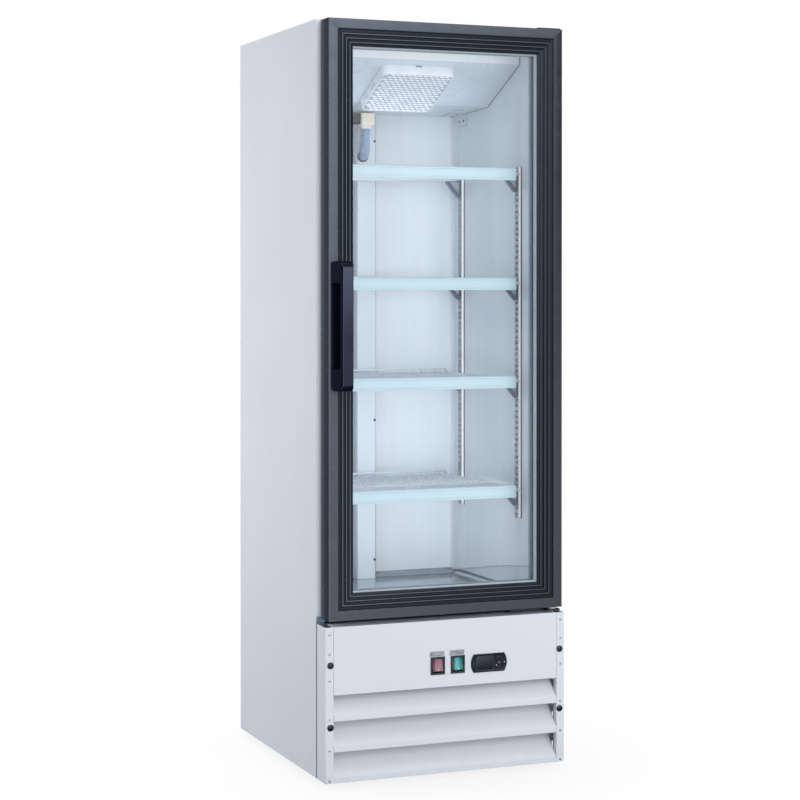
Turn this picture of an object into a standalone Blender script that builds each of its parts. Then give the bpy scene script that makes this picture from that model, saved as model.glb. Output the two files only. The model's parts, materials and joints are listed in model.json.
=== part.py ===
"""Single-door reach-in refrigerator with a glass door, built as separate pieces.

Frame: +Z up, the door faces -Y, +X is to the right of someone facing the door.
Origin: floor level, centred under the object's bounding box.
Lengths are millimetres. 'depth' is measured back from the front plane of the
lower grille cover, 'height' is measured up from the cabinet's bottom edge.
The extent of a box is x, x, depth, depth, height, height.
"""
import math

import bmesh
import bpy
from mathutils import Matrix, Vector

# ----------------------------------------------------------- shared dimensions
MM = 0.001
GAP = 0.3                      # assembly gap between touching pieces
CLEARANCE = 0.4                # looser gap round fitted and moving pieces
PAST = 5.0                     # how far a cutter runs past the face it opens
SHEET = 1.2                    # sheet thickness

HALF_W = 272.5                 # cabinet half width
BODY_H = 1575.0                # cabinet height without feet
FOOT_H = 12.0                  # floor to cabinet bottom edge
CAB_FRONT = 57.2               # depth of the cabinet's front flange
CAB_REAR = 573.6               # depth of the cabinet's back sheet
HANDLE_FRONT = -48.0           # depth of the handle's outermost face
Y_MID = (CAB_REAR + HANDLE_FRONT) / 2.0
SEAL_REAR = CAB_FRONT - GAP    # rear of the pieces that meet the front flange

LINER_X = 232.5                # half width of the cold compartment
LINER_BACK = 498.0
LINER_FLOOR = 343.5
LINER_TOP = 1535.0

SIDES = (("left", -1), ("right", 1))


# --------------------------------------------------------------------- helpers
def point(x, depth, height):
    """A place given in millimetres, as world coordinates in metres."""
    return Vector((x * MM, (depth - Y_MID) * MM, (height + FOOT_H) * MM))


def material(name, colour, rough=0.5, metal=0.0, alpha=1.0):
    mat = bpy.data.materials.new(name)
    mat.use_nodes = True
    inputs = mat.node_tree.nodes["Principled BSDF"].inputs
    inputs["Base Color"].default_value = (*colour, 1.0)
    inputs["Roughness"].default_value = rough
    inputs["Metallic"].default_value = metal
    inputs["Alpha"].default_value = alpha
    mat.diffuse_color = (*colour, alpha)
    return mat


def finish(shape, name, mat, origin=Vector((0, 0, 0)), smooth=False):
    """Turn a bmesh into a named object whose origin is at the given world point."""
    bmesh.ops.recalc_face_normals(shape, faces=shape.faces)
    bmesh.ops.translate(shape, verts=shape.verts, vec=-origin)
    mesh = bpy.data.meshes.new(name)
    shape.to_mesh(mesh)
    shape.free()
    obj = bpy.data.objects.new(name, mesh)
    obj.location = origin
    bpy.context.collection.objects.link(obj)
    mesh.materials.append(mat)
    if smooth:
        mesh.shade_smooth()
        mesh.set_sharp_from_angle(angle=math.radians(40))
    return obj


def boolean(obj, shape, operation, location=(0, 0, 0)):
    """Apply a bmesh tool, placed at location, to obj."""
    bmesh.ops.recalc_face_normals(shape, faces=shape.faces)
    tool_mesh = bpy.data.meshes.new("tool")
    shape.to_mesh(tool_mesh)
    shape.free()
    tool = bpy.data.objects.new("tool", tool_mesh)
    tool.location = location
    bpy.context.collection.objects.link(tool)
    modifier = obj.modifiers.new("boolean", "BOOLEAN")
    modifier.operation = operation
    modifier.solver = "EXACT"
    modifier.object = tool
    bpy.context.view_layer.update()
    bpy.context.view_layer.objects.active = obj
    bpy.ops.object.modifier_apply(modifier=modifier.name)
    bpy.data.objects.remove(tool, do_unlink=True)
    bpy.data.meshes.remove(tool_mesh)


def boxes(extents):
    shape = bmesh.new()
    for x0, x1, depth0, depth1, height0, height1 in extents:
        low = point(min(x0, x1), depth0, height0)
        high = point(max(x0, x1), depth1, height1)
        for vert in bmesh.ops.create_cube(shape, size=1.0)["verts"]:
            vert.co = Vector([low[i] + (vert.co[i] + 0.5) * (high[i] - low[i])
                              for i in range(3)])
    return shape


def box(name, mat, *extent, **options):
    return finish(boxes([extent]), name, mat, **options)


def cut_boxes(obj, extents):
    boolean(obj, boxes(extents), "DIFFERENCE")


def cut_box(obj, *extent):
    cut_boxes(obj, [extent])


def join_box(obj, *extent):
    boolean(obj, boxes([extent]), "UNION")


def around(x, height, half_x, half_height, depth0, depth1):
    """Extent of a box centred on (x, height)."""
    return (x - half_x, x + half_x, depth0, depth1, height - half_height, height + half_height)


def skin(shape, loops):
    """Join matching closed loops of world points by quads and cap both ends."""
    rings = [[shape.verts.new(place) for place in loop] for loop in loops]
    count = len(rings[0])
    for ring, following in zip(rings, rings[1:]):
        for i in range(count):
            j = (i + 1) % count
            shape.faces.new((ring[i], ring[j], following[j], following[i]))
    shape.faces.new(list(reversed(rings[0])))
    shape.faces.new(rings[-1])


def prism_x(outline, x0, x1):
    """Prism of a (depth, height) outline along X."""
    shape = bmesh.new()
    skin(shape, [[point(x, depth, height) for depth, height in outline] for x in (x0, x1)])
    return shape


def prism_y(outline, depth0, depth1):
    """Prism of an (x, height) outline along the depth."""
    shape = bmesh.new()
    skin(shape, [[point(x, depth, height) for x, height in outline]
                 for depth in (depth0, depth1)])
    return shape


def bent_sheet(path, thickness):
    """Closed outline of a bent sheet: the path and its mitred offset copy."""
    normals = []
    for (x0, y0), (x1, y1) in zip(path, path[1:]):
        length = math.hypot(x1 - x0, y1 - y0)
        normals.append(((y0 - y1) / length, (x1 - x0) / length))
    offset = []
    for (x, y), before, after in zip(path, normals[:1] + normals, normals + normals[-1:]):
        sum_x, sum_y = before[0] + after[0], before[1] + after[1]
        scale = 2.0 * thickness / (sum_x * sum_x + sum_y * sum_y)
        offset.append((x + sum_x * scale, y + sum_y * scale))
    return list(path) + offset[::-1]


def turned(places, profile, segments, axis="Z"):
    """Solids of revolution. profile: (radius, station along the axis from the place)."""
    shape = bmesh.new()
    for place in places:
        loops = []
        for radius, station in profile:
            loop = []
            for i in range(segments):
                angle = 2 * math.pi * i / segments
                across, up = radius * math.cos(angle), radius * math.sin(angle)
                offset = (across, up, station) if axis == "Z" else (across, station, up)
                loop.append(place + Vector(offset) * MM)
            loops.append(loop)
        skin(shape, loops)
    return shape


def cut_turned(obj, place, profile, segments, axis="Z"):
    boolean(obj, turned([place], profile, segments, axis), "DIFFERENCE")


def join_turned(obj, place, profile, segments, axis="Z"):
    boolean(obj, turned([place], profile, segments, axis), "UNION")


def drill(obj, place, radius, segments, axis="Z"):
    """Round hole through a sheet at the given place."""
    cut_turned(obj, place, [(radius, -PAST), (radius, PAST)], segments, axis)


def tube(path, radius, segments):
    """Solid rod along a list of world points, with flat ends."""
    loops = []
    side = None
    for i, place in enumerate(path):
        tangent = (path[min(i + 1, len(path) - 1)] - path[max(i - 1, 0)]).normalized()
        if side is None:
            side = tangent.orthogonal().normalized()
        side = (side - tangent * side.dot(tangent)).normalized()
        up = tangent.cross(side)
        angles = [2 * math.pi * k / segments for k in range(segments)]
        loops.append([place + (side * math.cos(angle) + up * math.sin(angle)) * radius * MM
                      for angle in angles])
    shape = bmesh.new()
    skin(shape, loops)
    return shape


def finned_block(name, mat, extent, first, pitch, count, margin):
    """Block with a row of slots through its depth; first is measured from its left side."""
    slot_width = 6.0
    x0, _, depth0, depth1, height0, height1 = extent
    block = box(name, mat, *extent)
    starts = [x0 + first + pitch * i for i in range(count)]
    cut_boxes(block, [(start, start + slot_width, depth0 - PAST, depth1 + PAST,
                       height0 + margin, height1 - margin) for start in starts])
    return block


def join_blades(hub, centre, root, tip, width, thick, pitch, axis="Z"):
    """Five flat blades from radius root to radius tip, pitched by an angle in degrees."""
    count = 5
    shape = bmesh.new()
    scale = Matrix.Diagonal(((tip - root) * MM, width * MM, thick * MM, 1.0))
    move = Matrix.Translation(((root + tip) / 2 * MM, 0, 0))
    twist = Matrix.Rotation(math.radians(pitch), 4, "X")
    place = Matrix.Translation(centre - hub.location)
    if axis == "Y":
        place = place @ Matrix.Rotation(math.radians(90), 4, "X")
    for k in range(count):
        turn = Matrix.Rotation(2 * math.pi * k / count, 4, "Z")
        bmesh.ops.create_cube(shape, size=1.0, matrix=place @ turn @ move @ twist @ scale)
    boolean(hub, shape, "UNION", hub.location)


for old in list(bpy.data.objects):
    bpy.data.objects.remove(old, do_unlink=True)

# ------------------------------------------------------------ shared materials
ZINC = (0.62, 0.64, 0.66)
paint = material("white_painted_steel", (0.80, 0.83, 0.85), rough=0.35)
liner_mat = material("liner_coated_aluminium", (0.72, 0.78, 0.82), rough=0.25)
foam_mat = material("polyurethane_foam", (0.80, 0.70, 0.42), rough=0.9)
galvanised = material("galvanised_steel", ZINC, rough=0.45, metal=0.8)
steel = material("zinc_plated_steel", ZINC, rough=0.25, metal=1.0)
black = material("black_bezel", (0.012, 0.014, 0.02), rough=0.3)
fan_mat = material("fan_plastic", (0.06, 0.06, 0.07), rough=0.5)

# --------------------------------------------------------------------- cabinet
DECK_H = 299.7                 # top of the steel deck over the machine space
FLANGE_X = 234.5               # half width of the mouth in the front flange
FLANGE_LOW = 372.0
FLANGE_TOP = 1538.0
POST_X = 254.7                 # inner edge of the two side posts
INNER_X = HALF_W - SHEET
INNER_FRONT = CAB_FRONT + SHEET
INNER_REAR = CAB_REAR - SHEET
INNER_TOP = BODY_H - SHEET

# The shell: two spaces split by the deck, open to the front, and a rear opening below.
shell = box("cabinet_shell", paint, -HALF_W, HALF_W, CAB_FRONT, CAB_REAR, 0, BODY_H)
cut_box(shell, -INNER_X, INNER_X, INNER_FRONT, INNER_REAR, DECK_H, INNER_TOP)
cut_box(shell, -INNER_X, INNER_X, INNER_FRONT, INNER_REAR, -PAST, DECK_H - SHEET)
cut_box(shell, -FLANGE_X, FLANGE_X, CAB_FRONT - PAST, CAB_FRONT + PAST, FLANGE_LOW, FLANGE_TOP)
cut_box(shell, -POST_X, POST_X, CAB_FRONT - PAST, CAB_FRONT + PAST, -PAST, DECK_H - SHEET)
cut_box(shell, -235, 235, CAB_REAR - PAST, CAB_REAR + PAST, 24, DECK_H - 16)

# Foam fills the space between the shell and the liner.
around_liner = SHEET + GAP
foam = box("insulation", foam_mat, -INNER_X + GAP, INNER_X - GAP, INNER_FRONT + GAP,
           INNER_REAR - GAP, DECK_H + GAP, INNER_TOP - GAP)
cut_box(foam, -LINER_X - around_liner, LINER_X + around_liner, CAB_FRONT - PAST,
        LINER_BACK + around_liner, LINER_FLOOR - around_liner, LINER_TOP + around_liner)

# The liner reaches forward through the mouth of the flange.
LINER_FRONT = INNER_FRONT + GAP
MOUTH_LOW = FLANGE_LOW + GAP
liner = box("inner_liner", liner_mat, -LINER_X - SHEET, LINER_X + SHEET, LINER_FRONT,
            LINER_BACK + SHEET, LINER_FLOOR - SHEET, LINER_TOP + SHEET)
join_box(liner, -LINER_X - SHEET, LINER_X + SHEET, CAB_FRONT - 0.2, CAB_FRONT + 4,
         MOUTH_LOW, LINER_TOP + SHEET)
cut_box(liner, -LINER_X, LINER_X, LINER_FRONT + SHEET, LINER_BACK, LINER_FLOOR, LINER_TOP)
cut_box(liner, -LINER_X, LINER_X, CAB_FRONT - PAST, CAB_FRONT + PAST,
        MOUTH_LOW + SHEET, LINER_TOP)

# Base pan: bent tray with four holes for the levelling feet.
PAN_X = INNER_X - 0.5
PAN_FRONT, PAN_REAR = 59.0, 570.4
PAN_SHEET = 1.5
FOOT_X = 225.0
FEET = [("foot_%s_%s" % (row, side), sign * FOOT_X, depth)
        for side, sign in SIDES for row, depth in (("front", 125.0), ("rear", 510.0))]

pan = box("base_pan", galvanised, -PAN_X, PAN_X, PAN_FRONT, PAN_REAR, 1.5, 17)
cut_box(pan, PAN_SHEET - PAN_X, PAN_X - PAN_SHEET, PAN_FRONT + PAN_SHEET,
        PAN_REAR - PAN_SHEET, 1.5 + PAN_SHEET, 17 + PAST)
for _, foot_x, foot_depth in FEET:
    drill(pan, point(foot_x, foot_depth, 0), radius=5.7, segments=16)

# Vented cover over the machine space, set in from the back sheet so that the back stays flat.
COVER_REAR = INNER_REAR - GAP
VENT_LEFTS = (-215, -65, 85)
VENT_W, VENT_H = 130, 8
VENT_LOWEST, VENT_PITCH, VENT_ROWS = 60, 24, 9
rear_cover = box("machine_rear_cover", paint, -244, 244, COVER_REAR - SHEET, COVER_REAR, 18, 296)
cut_boxes(rear_cover, [
    (left, left + VENT_W, COVER_REAR - PAST, COVER_REAR + PAST,
     VENT_LOWEST + VENT_PITCH * i, VENT_LOWEST + VENT_PITCH * i + VENT_H)
    for left in VENT_LEFTS for i in range(VENT_ROWS)])

# ----------------------------------------------------------- lower front cover
COVER_TOP = 321.3
COVER_X = POST_X - CLEARANCE   # half width of the panel and louvres between the posts
PANEL_LOW = 181.0
PANEL_LIP = 12.0               # rear of the panel's bottom lip
POST_RETURN = 52.0             # rear of the posts' side walls
POST_LIP = 14.0                # rear of the posts' inner lips
PANEL_REAR = POST_RETURN - 12.0
RIVET_X = 263.6
RIVET_H = (306.0, 266.0, 211.0, 131.5, 67.5, 4.2)
SCREW_X = 261.7
SCREW_H = (243.0, 115.0)
# Louvre: name, bottom and top of its upright front lip.
LOUVRES = (("louvre_top", 127.0, 140.0), ("louvre_middle", 63.6, 76.3),
           ("louvre_bottom", 0.0, 11.7))
LOUVRE_REAR, LOUVRE_RISE = 46.0, 44.0
# Rocker switches: tag, x, rocker colour.
SWITCHES = (("red", -22.6, (0.45, 0.02, 0.03)), ("green", 23.2, (0.0, 0.35, 0.27)))
SWITCH_H = 226.2
SWITCH_HALF = (16.2, 18.8)     # bezel half width and half height
SWITCH_OPEN = (13.9, 16.4)     # the same for its opening in the panel
CTRL = (95.0, 225.0)           # controller centre: x, height
CTRL_HALF = (41.4, 19.4)
CTRL_OPEN = (35.9, 14.9)

panel = box("control_panel", paint, -COVER_X, COVER_X, 0, PANEL_REAR, PANEL_LOW, COVER_TOP)
cut_box(panel, -COVER_X - PAST, COVER_X + PAST, SHEET, PANEL_REAR + PAST,
        PANEL_LOW + SHEET, COVER_TOP - SHEET)
cut_box(panel, -COVER_X - PAST, COVER_X + PAST, PANEL_LIP, PANEL_REAR + PAST,
        PANEL_LOW - PAST, PANEL_LOW + PAST)
for _, switch_x, _ in SWITCHES:
    cut_box(panel, *around(switch_x, SWITCH_H, *SWITCH_OPEN, -PAST, PAST))
cut_box(panel, *around(*CTRL, *CTRL_OPEN, -PAST, PAST))


def grille_post(side, sign):
    """Channel open to the rear, with screw holes and a column of rivet heads."""
    post = box("grille_post_" + side, paint, sign * POST_X, sign * HALF_W,
               0, POST_RETURN, 0, COVER_TOP)
    cut_box(post, sign * (POST_X + SHEET), sign * (HALF_W - SHEET),
            SHEET, POST_RETURN + PAST, -PAST, COVER_TOP + PAST)
    cut_box(post, sign * (POST_X - PAST), sign * (POST_X + PAST),
            POST_LIP, POST_RETURN + PAST, -PAST, COVER_TOP + PAST)
    for height in SCREW_H:
        drill(post, point(sign * SCREW_X, 0, height), radius=2.9, segments=12, axis="Y")
    rivets = turned([point(sign * RIVET_X, 0, height) for height in RIVET_H],
                    [(2.6, 0.5), (2.4, -0.5), (1.4, -0.9)], 10, "Y")
    boolean(post, rivets, "UNION")


def cover_screws(side, sign):
    """Two screws with the tapped strip they run into."""
    mat = material("dark_screw_%d" % sign, (0.05, 0.055, 0.07), rough=0.35, metal=0.5)
    screws = box("cover_screws_" + side, mat, sign * SCREW_X - 4.0, sign * SCREW_X + 4.0,
                 SHEET + GAP, SHEET + 2.5, 100, 258)
    profile = [(2.5, 8), (2.5, -0.3), (7.0, -0.3), (7.0, -1.3), (5.2, -2.3)]
    for height in SCREW_H:
        join_turned(screws, point(sign * SCREW_X, 0, height), profile, 14, "Y")


for side, sign in SIDES:
    grille_post(side, sign)
    cover_screws(side, sign)

# Each louvre is an upright lip with a sheet sloping up and back behind it.
for name, lip_low, lip_top in LOUVRES:
    lip_path = [(SHEET, lip_low), (SHEET, lip_top), (LOUVRE_REAR, lip_top + LOUVRE_RISE)]
    finish(prism_x(bent_sheet(lip_path, SHEET), -COVER_X, COVER_X), name, paint)

# -------------------------------------------------------------------- switches
SWITCH_WALL = 1.2
ROCKER_PIVOT = 5.0             # depth of the rocker's origin
ROCKER_TILT = math.radians(-10.0)
# Rocker side view before tilting: depth and height from its origin.
ROCKER_OUTLINE = ((-6.4, 13.0), (-4.6, 0.0), (-6.4, -13.0), (1.5, -13.0),
                  (6.5, -4.5), (6.5, 4.5), (1.5, 13.0))


def rocker_switch(tag, x, colour):
    body = [half - GAP for half in SWITCH_OPEN]
    pocket = [half - SWITCH_WALL for half in body]
    bezel = box("switch_bezel_" + tag, black, *around(x, SWITCH_H, *SWITCH_HALF, -2.2, -0.2))
    join_box(bezel, *around(x, SWITCH_H, *body, -1.0, 24))
    cut_box(bezel, *around(x, SWITCH_H, *pocket, -6, 15))
    cos, sin = math.cos(ROCKER_TILT), math.sin(ROCKER_TILT)
    outline = [(ROCKER_PIVOT + depth * cos - height * sin, SWITCH_H + depth * sin + height * cos)
               for depth, height in ROCKER_OUTLINE]
    half_x = pocket[0] - CLEARANCE
    finish(prism_x(outline, x - half_x, x + half_x), "rocker_" + tag,
           material("rocker_" + tag, colour, rough=0.15),
           origin=point(x, ROCKER_PIVOT, SWITCH_H))


for tag, switch_x, colour in SWITCHES:
    rocker_switch(tag, switch_x, colour)

# ------------------------------------------------------------------ controller
END_RADIUS = 33.0              # radius of the face's bowed ends
END_ANGLE = 36                 # degrees from mid height to a corner, in steps of 12
KEY_RADIUS = 3.2
# Key: name, x and height from the controller centre.
KEYS = (("controller_key_up", 19.5, 10.0), ("controller_key_set", 27.5, 0.0),
        ("controller_key_down", 19.5, -10.0))

outline = []
for sign in (1, -1):
    for i in range(7):
        angle = math.radians(12 * i - END_ANGLE)
        half_x = CTRL_HALF[0] - END_RADIUS + END_RADIUS * math.cos(angle)
        rise = CTRL_HALF[1] * math.sin(angle) / math.sin(math.radians(END_ANGLE))
        outline.append((CTRL[0] + sign * half_x, CTRL[1] + sign * rise))
controller = finish(prism_y(outline, -3.2, -0.2), "controller_body", black)
join_box(controller, *around(*CTRL, *[half - CLEARANCE for half in CTRL_OPEN], -1.5, 58))
for name, across, rise in KEYS:
    key_x, key_h = CTRL[0] + across, CTRL[1] + rise
    hole = KEY_RADIUS + CLEARANCE
    cut_turned(controller, point(key_x, 0, key_h), [(hole, -6), (hole, 1.0)], 16, "Y")
    key = turned([point(key_x, 0, key_h)],
                 [(KEY_RADIUS, -0.4), (KEY_RADIUS, -3.6), (2.6, -4.0)], 16, "Y")
    finish(key, name, material(name, (0.10, 0.11, 0.13), rough=0.4),
           origin=point(key_x, -0.4, key_h), smooth=True)

# ------------------------------------------------------------ evaporator cover
# Corners of the cover's lower face: depth, height.
SLOPE_LIP = (136.0, 1509.0)
SLOPE_BEND = (305.0, 1429.0)
SLOPE_REAR = (LINER_BACK - CLEARANCE, 1420.0)

cover_path = [(SLOPE_LIP[0], LINER_TOP - CLEARANCE), SLOPE_LIP, SLOPE_BEND, SLOPE_REAR]
cover = finish(prism_x(bent_sheet(cover_path, SHEET), CLEARANCE - LINER_X, LINER_X - CLEARANCE),
               "evaporator_cover", liner_mat)
cut_boxes(cover, [(-205, -105, 318 + 17 * i, 326 + 17 * i, 1400, 1450) for i in range(7)])

# ------------------------------------------------------------------------ lamp
LAMP_HALF = 81.5
LAMP_WIDE = 1.03               # the lamp is a little wider than it is long
slope = math.atan2(SLOPE_BEND[1] - SLOPE_LIP[1], SLOPE_BEND[0] - SLOPE_LIP[0])
along_depth, along_height = math.cos(slope), math.sin(slope)
LAMP_DEPTH = SLOPE_BEND[0] - 0.5 - LAMP_HALF * along_depth
LAMP_HEIGHT = SLOPE_BEND[1] - LAMP_HALF * along_height


def on_slope(x, along, out):
    """Point at x, a distance along the slope from the lamp centre and out of the cover."""
    return point(x, LAMP_DEPTH + along * along_depth + out * along_height,
                 LAMP_HEIGHT + along * along_height - out * along_depth)


def lamp_loop(half, radius, out):
    """Rounded outline, widened across X, at a distance out of the cover."""
    loop = []
    for side_x, side_y, start in ((1, 1, 0), (-1, 1, 90), (-1, -1, 180), (1, -1, 270)):
        for i in range(5):
            angle = math.radians(start + 90.0 * i / 4)
            x = side_x * (half - radius) + radius * math.cos(angle)
            y = side_y * (half - radius) + radius * math.sin(angle)
            loop.append(on_slope(x * LAMP_WIDE, y, out))
    return loop


def lamp_solid(half, radius, base, face, bevel):
    """Rounded block with a bevelled outer face."""
    shape = bmesh.new()
    skin(shape, [lamp_loop(half, radius, base), lamp_loop(half, radius, face - bevel),
                 lamp_loop(half - bevel, radius - bevel, face)])
    return shape


lamp = finish(lamp_solid(LAMP_HALF, radius=14.0, base=0.3, face=21.5, bevel=3.0),
              "lamp_diffuser", material("lamp_diffuser", (0.93, 0.94, 0.95), rough=0.3))
boolean(lamp, lamp_solid(LAMP_HALF - 2.5, radius=12.0, base=-3.0, face=18.5, bevel=2.0),
        "DIFFERENCE")

# --------------------------------------------------------- evaporator and fan
EVAP_FAN = (-155.0, 380.0)     # fan axis: x, depth

unit = finned_block("evaporator_unit",
                    material("evaporator_aluminium", (0.75, 0.77, 0.79), rough=0.4, metal=0.9),
                    (-60, 205, 330, 470, 1446, 1524), first=8, pitch=14, count=18, margin=6)
# Plate and fan motor to the left of the fins.
join_box(unit, -215, -55, 330, 460, 1521, 1523)
join_turned(unit, point(*EVAP_FAN, 0), [(27, 1478), (30, 1482), (30, 1516), (30, 1522)], 20)
hub = turned([point(*EVAP_FAN, 0)], [(13, 1450), (15, 1453), (15, 1470), (8, 1473)], 16)
fan = finish(hub, "evaporator_fan_blade", fan_mat, origin=point(*EVAP_FAN, 1460), smooth=True)
join_blades(fan, point(*EVAP_FAN, 1461), root=12, tip=46, width=26, thick=1.6, pitch=28)

# -------------------------------------------------------- rear duct and drain
DUCT_X, DUCT_FRONT = 23.5, 472.0
DUCT_TOP = SLOPE_REAR[1] - 0.8
HOSE_X, HOSE_DEPTH = -8.5, 452.0
HOSE_IN = 1320.0               # height at which the hose enters the duct
HOSE_BEND = 22.0

# Duct up the middle of the back wall.
duct = box("rear_duct_cover", liner_mat, -DUCT_X, DUCT_X, DUCT_FRONT, LINER_BACK - GAP,
           LINER_FLOOR + GAP, DUCT_TOP)
cut_box(duct, SHEET - DUCT_X, DUCT_X - SHEET, DUCT_FRONT + SHEET, LINER_BACK + PAST,
        LINER_FLOOR - PAST, DUCT_TOP - SHEET)
drill(duct, point(HOSE_X, DUCT_FRONT, HOSE_IN), radius=12.5, segments=20, axis="Y")

# Block under the evaporator cover, with a hose that bends back into the duct.
drain = box("drain_line", material("drain_plastic", (0.78, 0.74, 0.63), rough=0.5),
            -24, 10, 440, 470, 1389, 1419.5)
hose_path = [point(HOSE_X, HOSE_DEPTH, 1396)]
for i in range(7):
    angle = math.radians(15 * i)
    hose_path.append(point(HOSE_X, HOSE_DEPTH + HOSE_BEND * (1 - math.cos(angle)),
                           HOSE_IN + HOSE_BEND - HOSE_BEND * math.sin(angle)))
hose_path.append(point(HOSE_X, 484, HOSE_IN))
boolean(drain, tube(hose_path, radius=10.5, segments=14), "UNION")

# ------------------------------------------------ shelf standards and shelves
SLOT_PITCH = 12.55             # shelf standard, slot to slot
STD_LOW, STD_TOP = 511.0, 1283.0
STD_ROWS = (("front", 130.0), ("rear", 440.0))
STD_W = 20.0
STD_FACE = 226.0               # half distance between the standards' faces
CLIP_IN = 191.0                # inner end of a clip
CLIP_W = 10.0
CLIP_DROP = 40.0
SHELF_X = 201.0
SHELF_FRONT = 90.0
SHELF_REAR = 464.0
SHELF_SLOTS = (0, 19, 36, 55)  # slots up from the lowest shelf
SHELF_LOWEST = 588.6           # top of the lowest shelf's price rail
RAIL_H = 27.5
RAIL_DEPTH = 7.1
DECK_BELOW = 5.0               # wire deck's top below the rail's top
DECK_T = 6.0
UPSTAND_H, UPSTAND_T = 8.0, 5.0
RAIL_TOPS = [SHELF_LOWEST + SLOT_PITCH * slot for slot in SHELF_SLOTS]
CLIP_TOPS = [top - DECK_BELOW - DECK_T - GAP for top in RAIL_TOPS]

wire_mat = material("coated_wire", (0.82, 0.84, 0.86), rough=0.45)
rail_mat = material("price_rail", (0.66, 0.85, 0.88), rough=0.3)


def standard(tag, sign, depth):
    """Slotted channel, open towards the liner wall."""
    face = sign * STD_FACE
    mid = depth + STD_W / 2
    channel = box("standard_" + tag, steel, face, sign * (LINER_X - GAP),
                  depth, depth + STD_W, STD_LOW, STD_TOP)
    cut_box(channel, face + sign * SHEET, sign * (LINER_X + PAST),
            depth + SHEET, depth + STD_W - SHEET, STD_LOW - PAST, STD_TOP + PAST)
    cut_boxes(channel, [(face - 3, face + 3, mid - 2.3, mid + 2.3, top - 12.5, top - 1.5)
                        for top in CLIP_TOPS])


def shelf_clips(tag, sign, mid):
    """Four tapered clips joined through the slots to a strip inside the standard."""
    face = sign * STD_FACE
    clips = box("shelf_clips_" + tag, steel, face + sign * (SHEET + 0.4),
                face + sign * (SHEET + 1.4), mid - 6, mid + 6,
                CLIP_TOPS[0] - 30, CLIP_TOPS[-1] + 6)
    for top in CLIP_TOPS:
        join_box(clips, face + sign * (SHEET + 1.0), face - sign * 2.0,
                 mid - 2.0, mid + 2.0, top - 12.0, top - 2.0)
        outline = [(sign * CLIP_IN, top), (sign * (STD_FACE - GAP), top),
                   (sign * (STD_FACE - GAP), top - CLIP_DROP),
                   (sign * (STD_FACE - 4.0), top - CLIP_DROP), (sign * CLIP_IN, top - 6.0)]
        boolean(clips, prism_y(outline, mid - CLIP_W / 2, mid + CLIP_W / 2), "UNION")


def wire_deck(number, rail_top):
    """Grid of 3 by 12 openings with an upstand along the rear."""
    top = rail_top - DECK_BELOW
    low = top - DECK_T
    front, rear = SHELF_FRONT + RAIL_DEPTH + CLEARANCE, SHELF_REAR
    deck = box("shelf_%d_wire_deck" % number, wire_mat, -SHELF_X, SHELF_X, front, rear,
               low, top + UPSTAND_H, origin=point(0, (front + rear) / 2, low))
    cut_box(deck, -SHELF_X - PAST, SHELF_X + PAST, front - PAST, rear - UPSTAND_T, top, top + 20)
    border, bar = 6, 5
    column_pitch, opening = 131.67, 125.6
    span = rear - front - border
    cells = []
    for column in range(3):
        for row in range(12):
            left = -SHELF_X + border + column * column_pitch
            start = front + border + row * span / 12
            cells.append((left, left + opening, start, start + span / 12 - bar,
                          low - PAST, top + 30))
    cut_boxes(deck, cells)


def price_rail(number, top):
    """Front strip with a hooked-back edge at its top and bottom."""
    low, front, rear = top - RAIL_H, SHELF_FRONT, SHELF_FRONT + RAIL_DEPTH
    outline = [(front + 5.0, top), (front, top - 3.0), (front, low), (rear, low),
               (rear, low + 1.6), (front + 2.0, low + 1.6), (front + 2.0, top - 4.0),
               (rear, top - 2.0), (rear, top)]
    finish(prism_x(outline, -SHELF_X, SHELF_X), "price_rail_%d" % number, rail_mat)


for side, sign in SIDES:
    for row_name, depth in STD_ROWS:
        tag = row_name + "_" + side
        standard(tag, sign, depth)
        shelf_clips(tag, sign, depth + STD_W / 2)
for number, rail_top in enumerate(RAIL_TOPS, start=1):
    wire_deck(number, rail_top)
    price_rail(number, rail_top)

# ------------------------------------------------------------------------ door
DOOR_X = 266.5                 # door half width
DOOR_LOW = 333.3
DOOR_TOP = 1571.5
DOOR_FRONT = -3.5
DOOR_REAR = 45.1
FRAME_IN = 56.0                # width of the frame profile
GLASS_IN = 45.3                # inset of the glass edge from the door's edge
GROOVE_IN = GLASS_IN - 0.8     # bottom of the groove that holds the glass
PANE = 4.0
PANE_FRONT = 5.3
SPACER_FRONT = PANE_FRONT + PANE + GAP
SPACER_REAR = SPACER_FRONT + 11.4
GASKET_IN = 14.5
GASKET_OUT = GASKET_IN + 14.0  # inset of the gasket's inner edge
HINGE = (254.0, 22.0)          # hinge axis: x, depth
HINGE_BORE = 4.6
HINGE_PIN = 4.0

# Section of the door frame: inset from the door's edge, depth.
FRAME_PROFILE = (
    (0.0, DOOR_REAR), (0.0, -1.2), (0.9, -2.8), (2.6, DOOR_FRONT), (20.5, DOOR_FRONT),
    (21.6, -1.6), (29.2, -1.6), (30.2, -2.7), (32.0, -2.7), (33.0, 0.1), (37.9, 0.1),
    (38.9, -1.0), (40.7, -1.0), (41.7, 1.7), (46.6, 1.7), (47.6, 0.6), (49.4, 0.6),
    (50.4, 3.2), (FRAME_IN - 0.8, 3.6), (FRAME_IN, 4.1), (FRAME_IN, 5.0), (GROOVE_IN, 5.0),
    (GROOVE_IN, 25.6), (53.5, 25.6), (53.5, 38.0), (48.0, DOOR_REAR))


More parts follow.
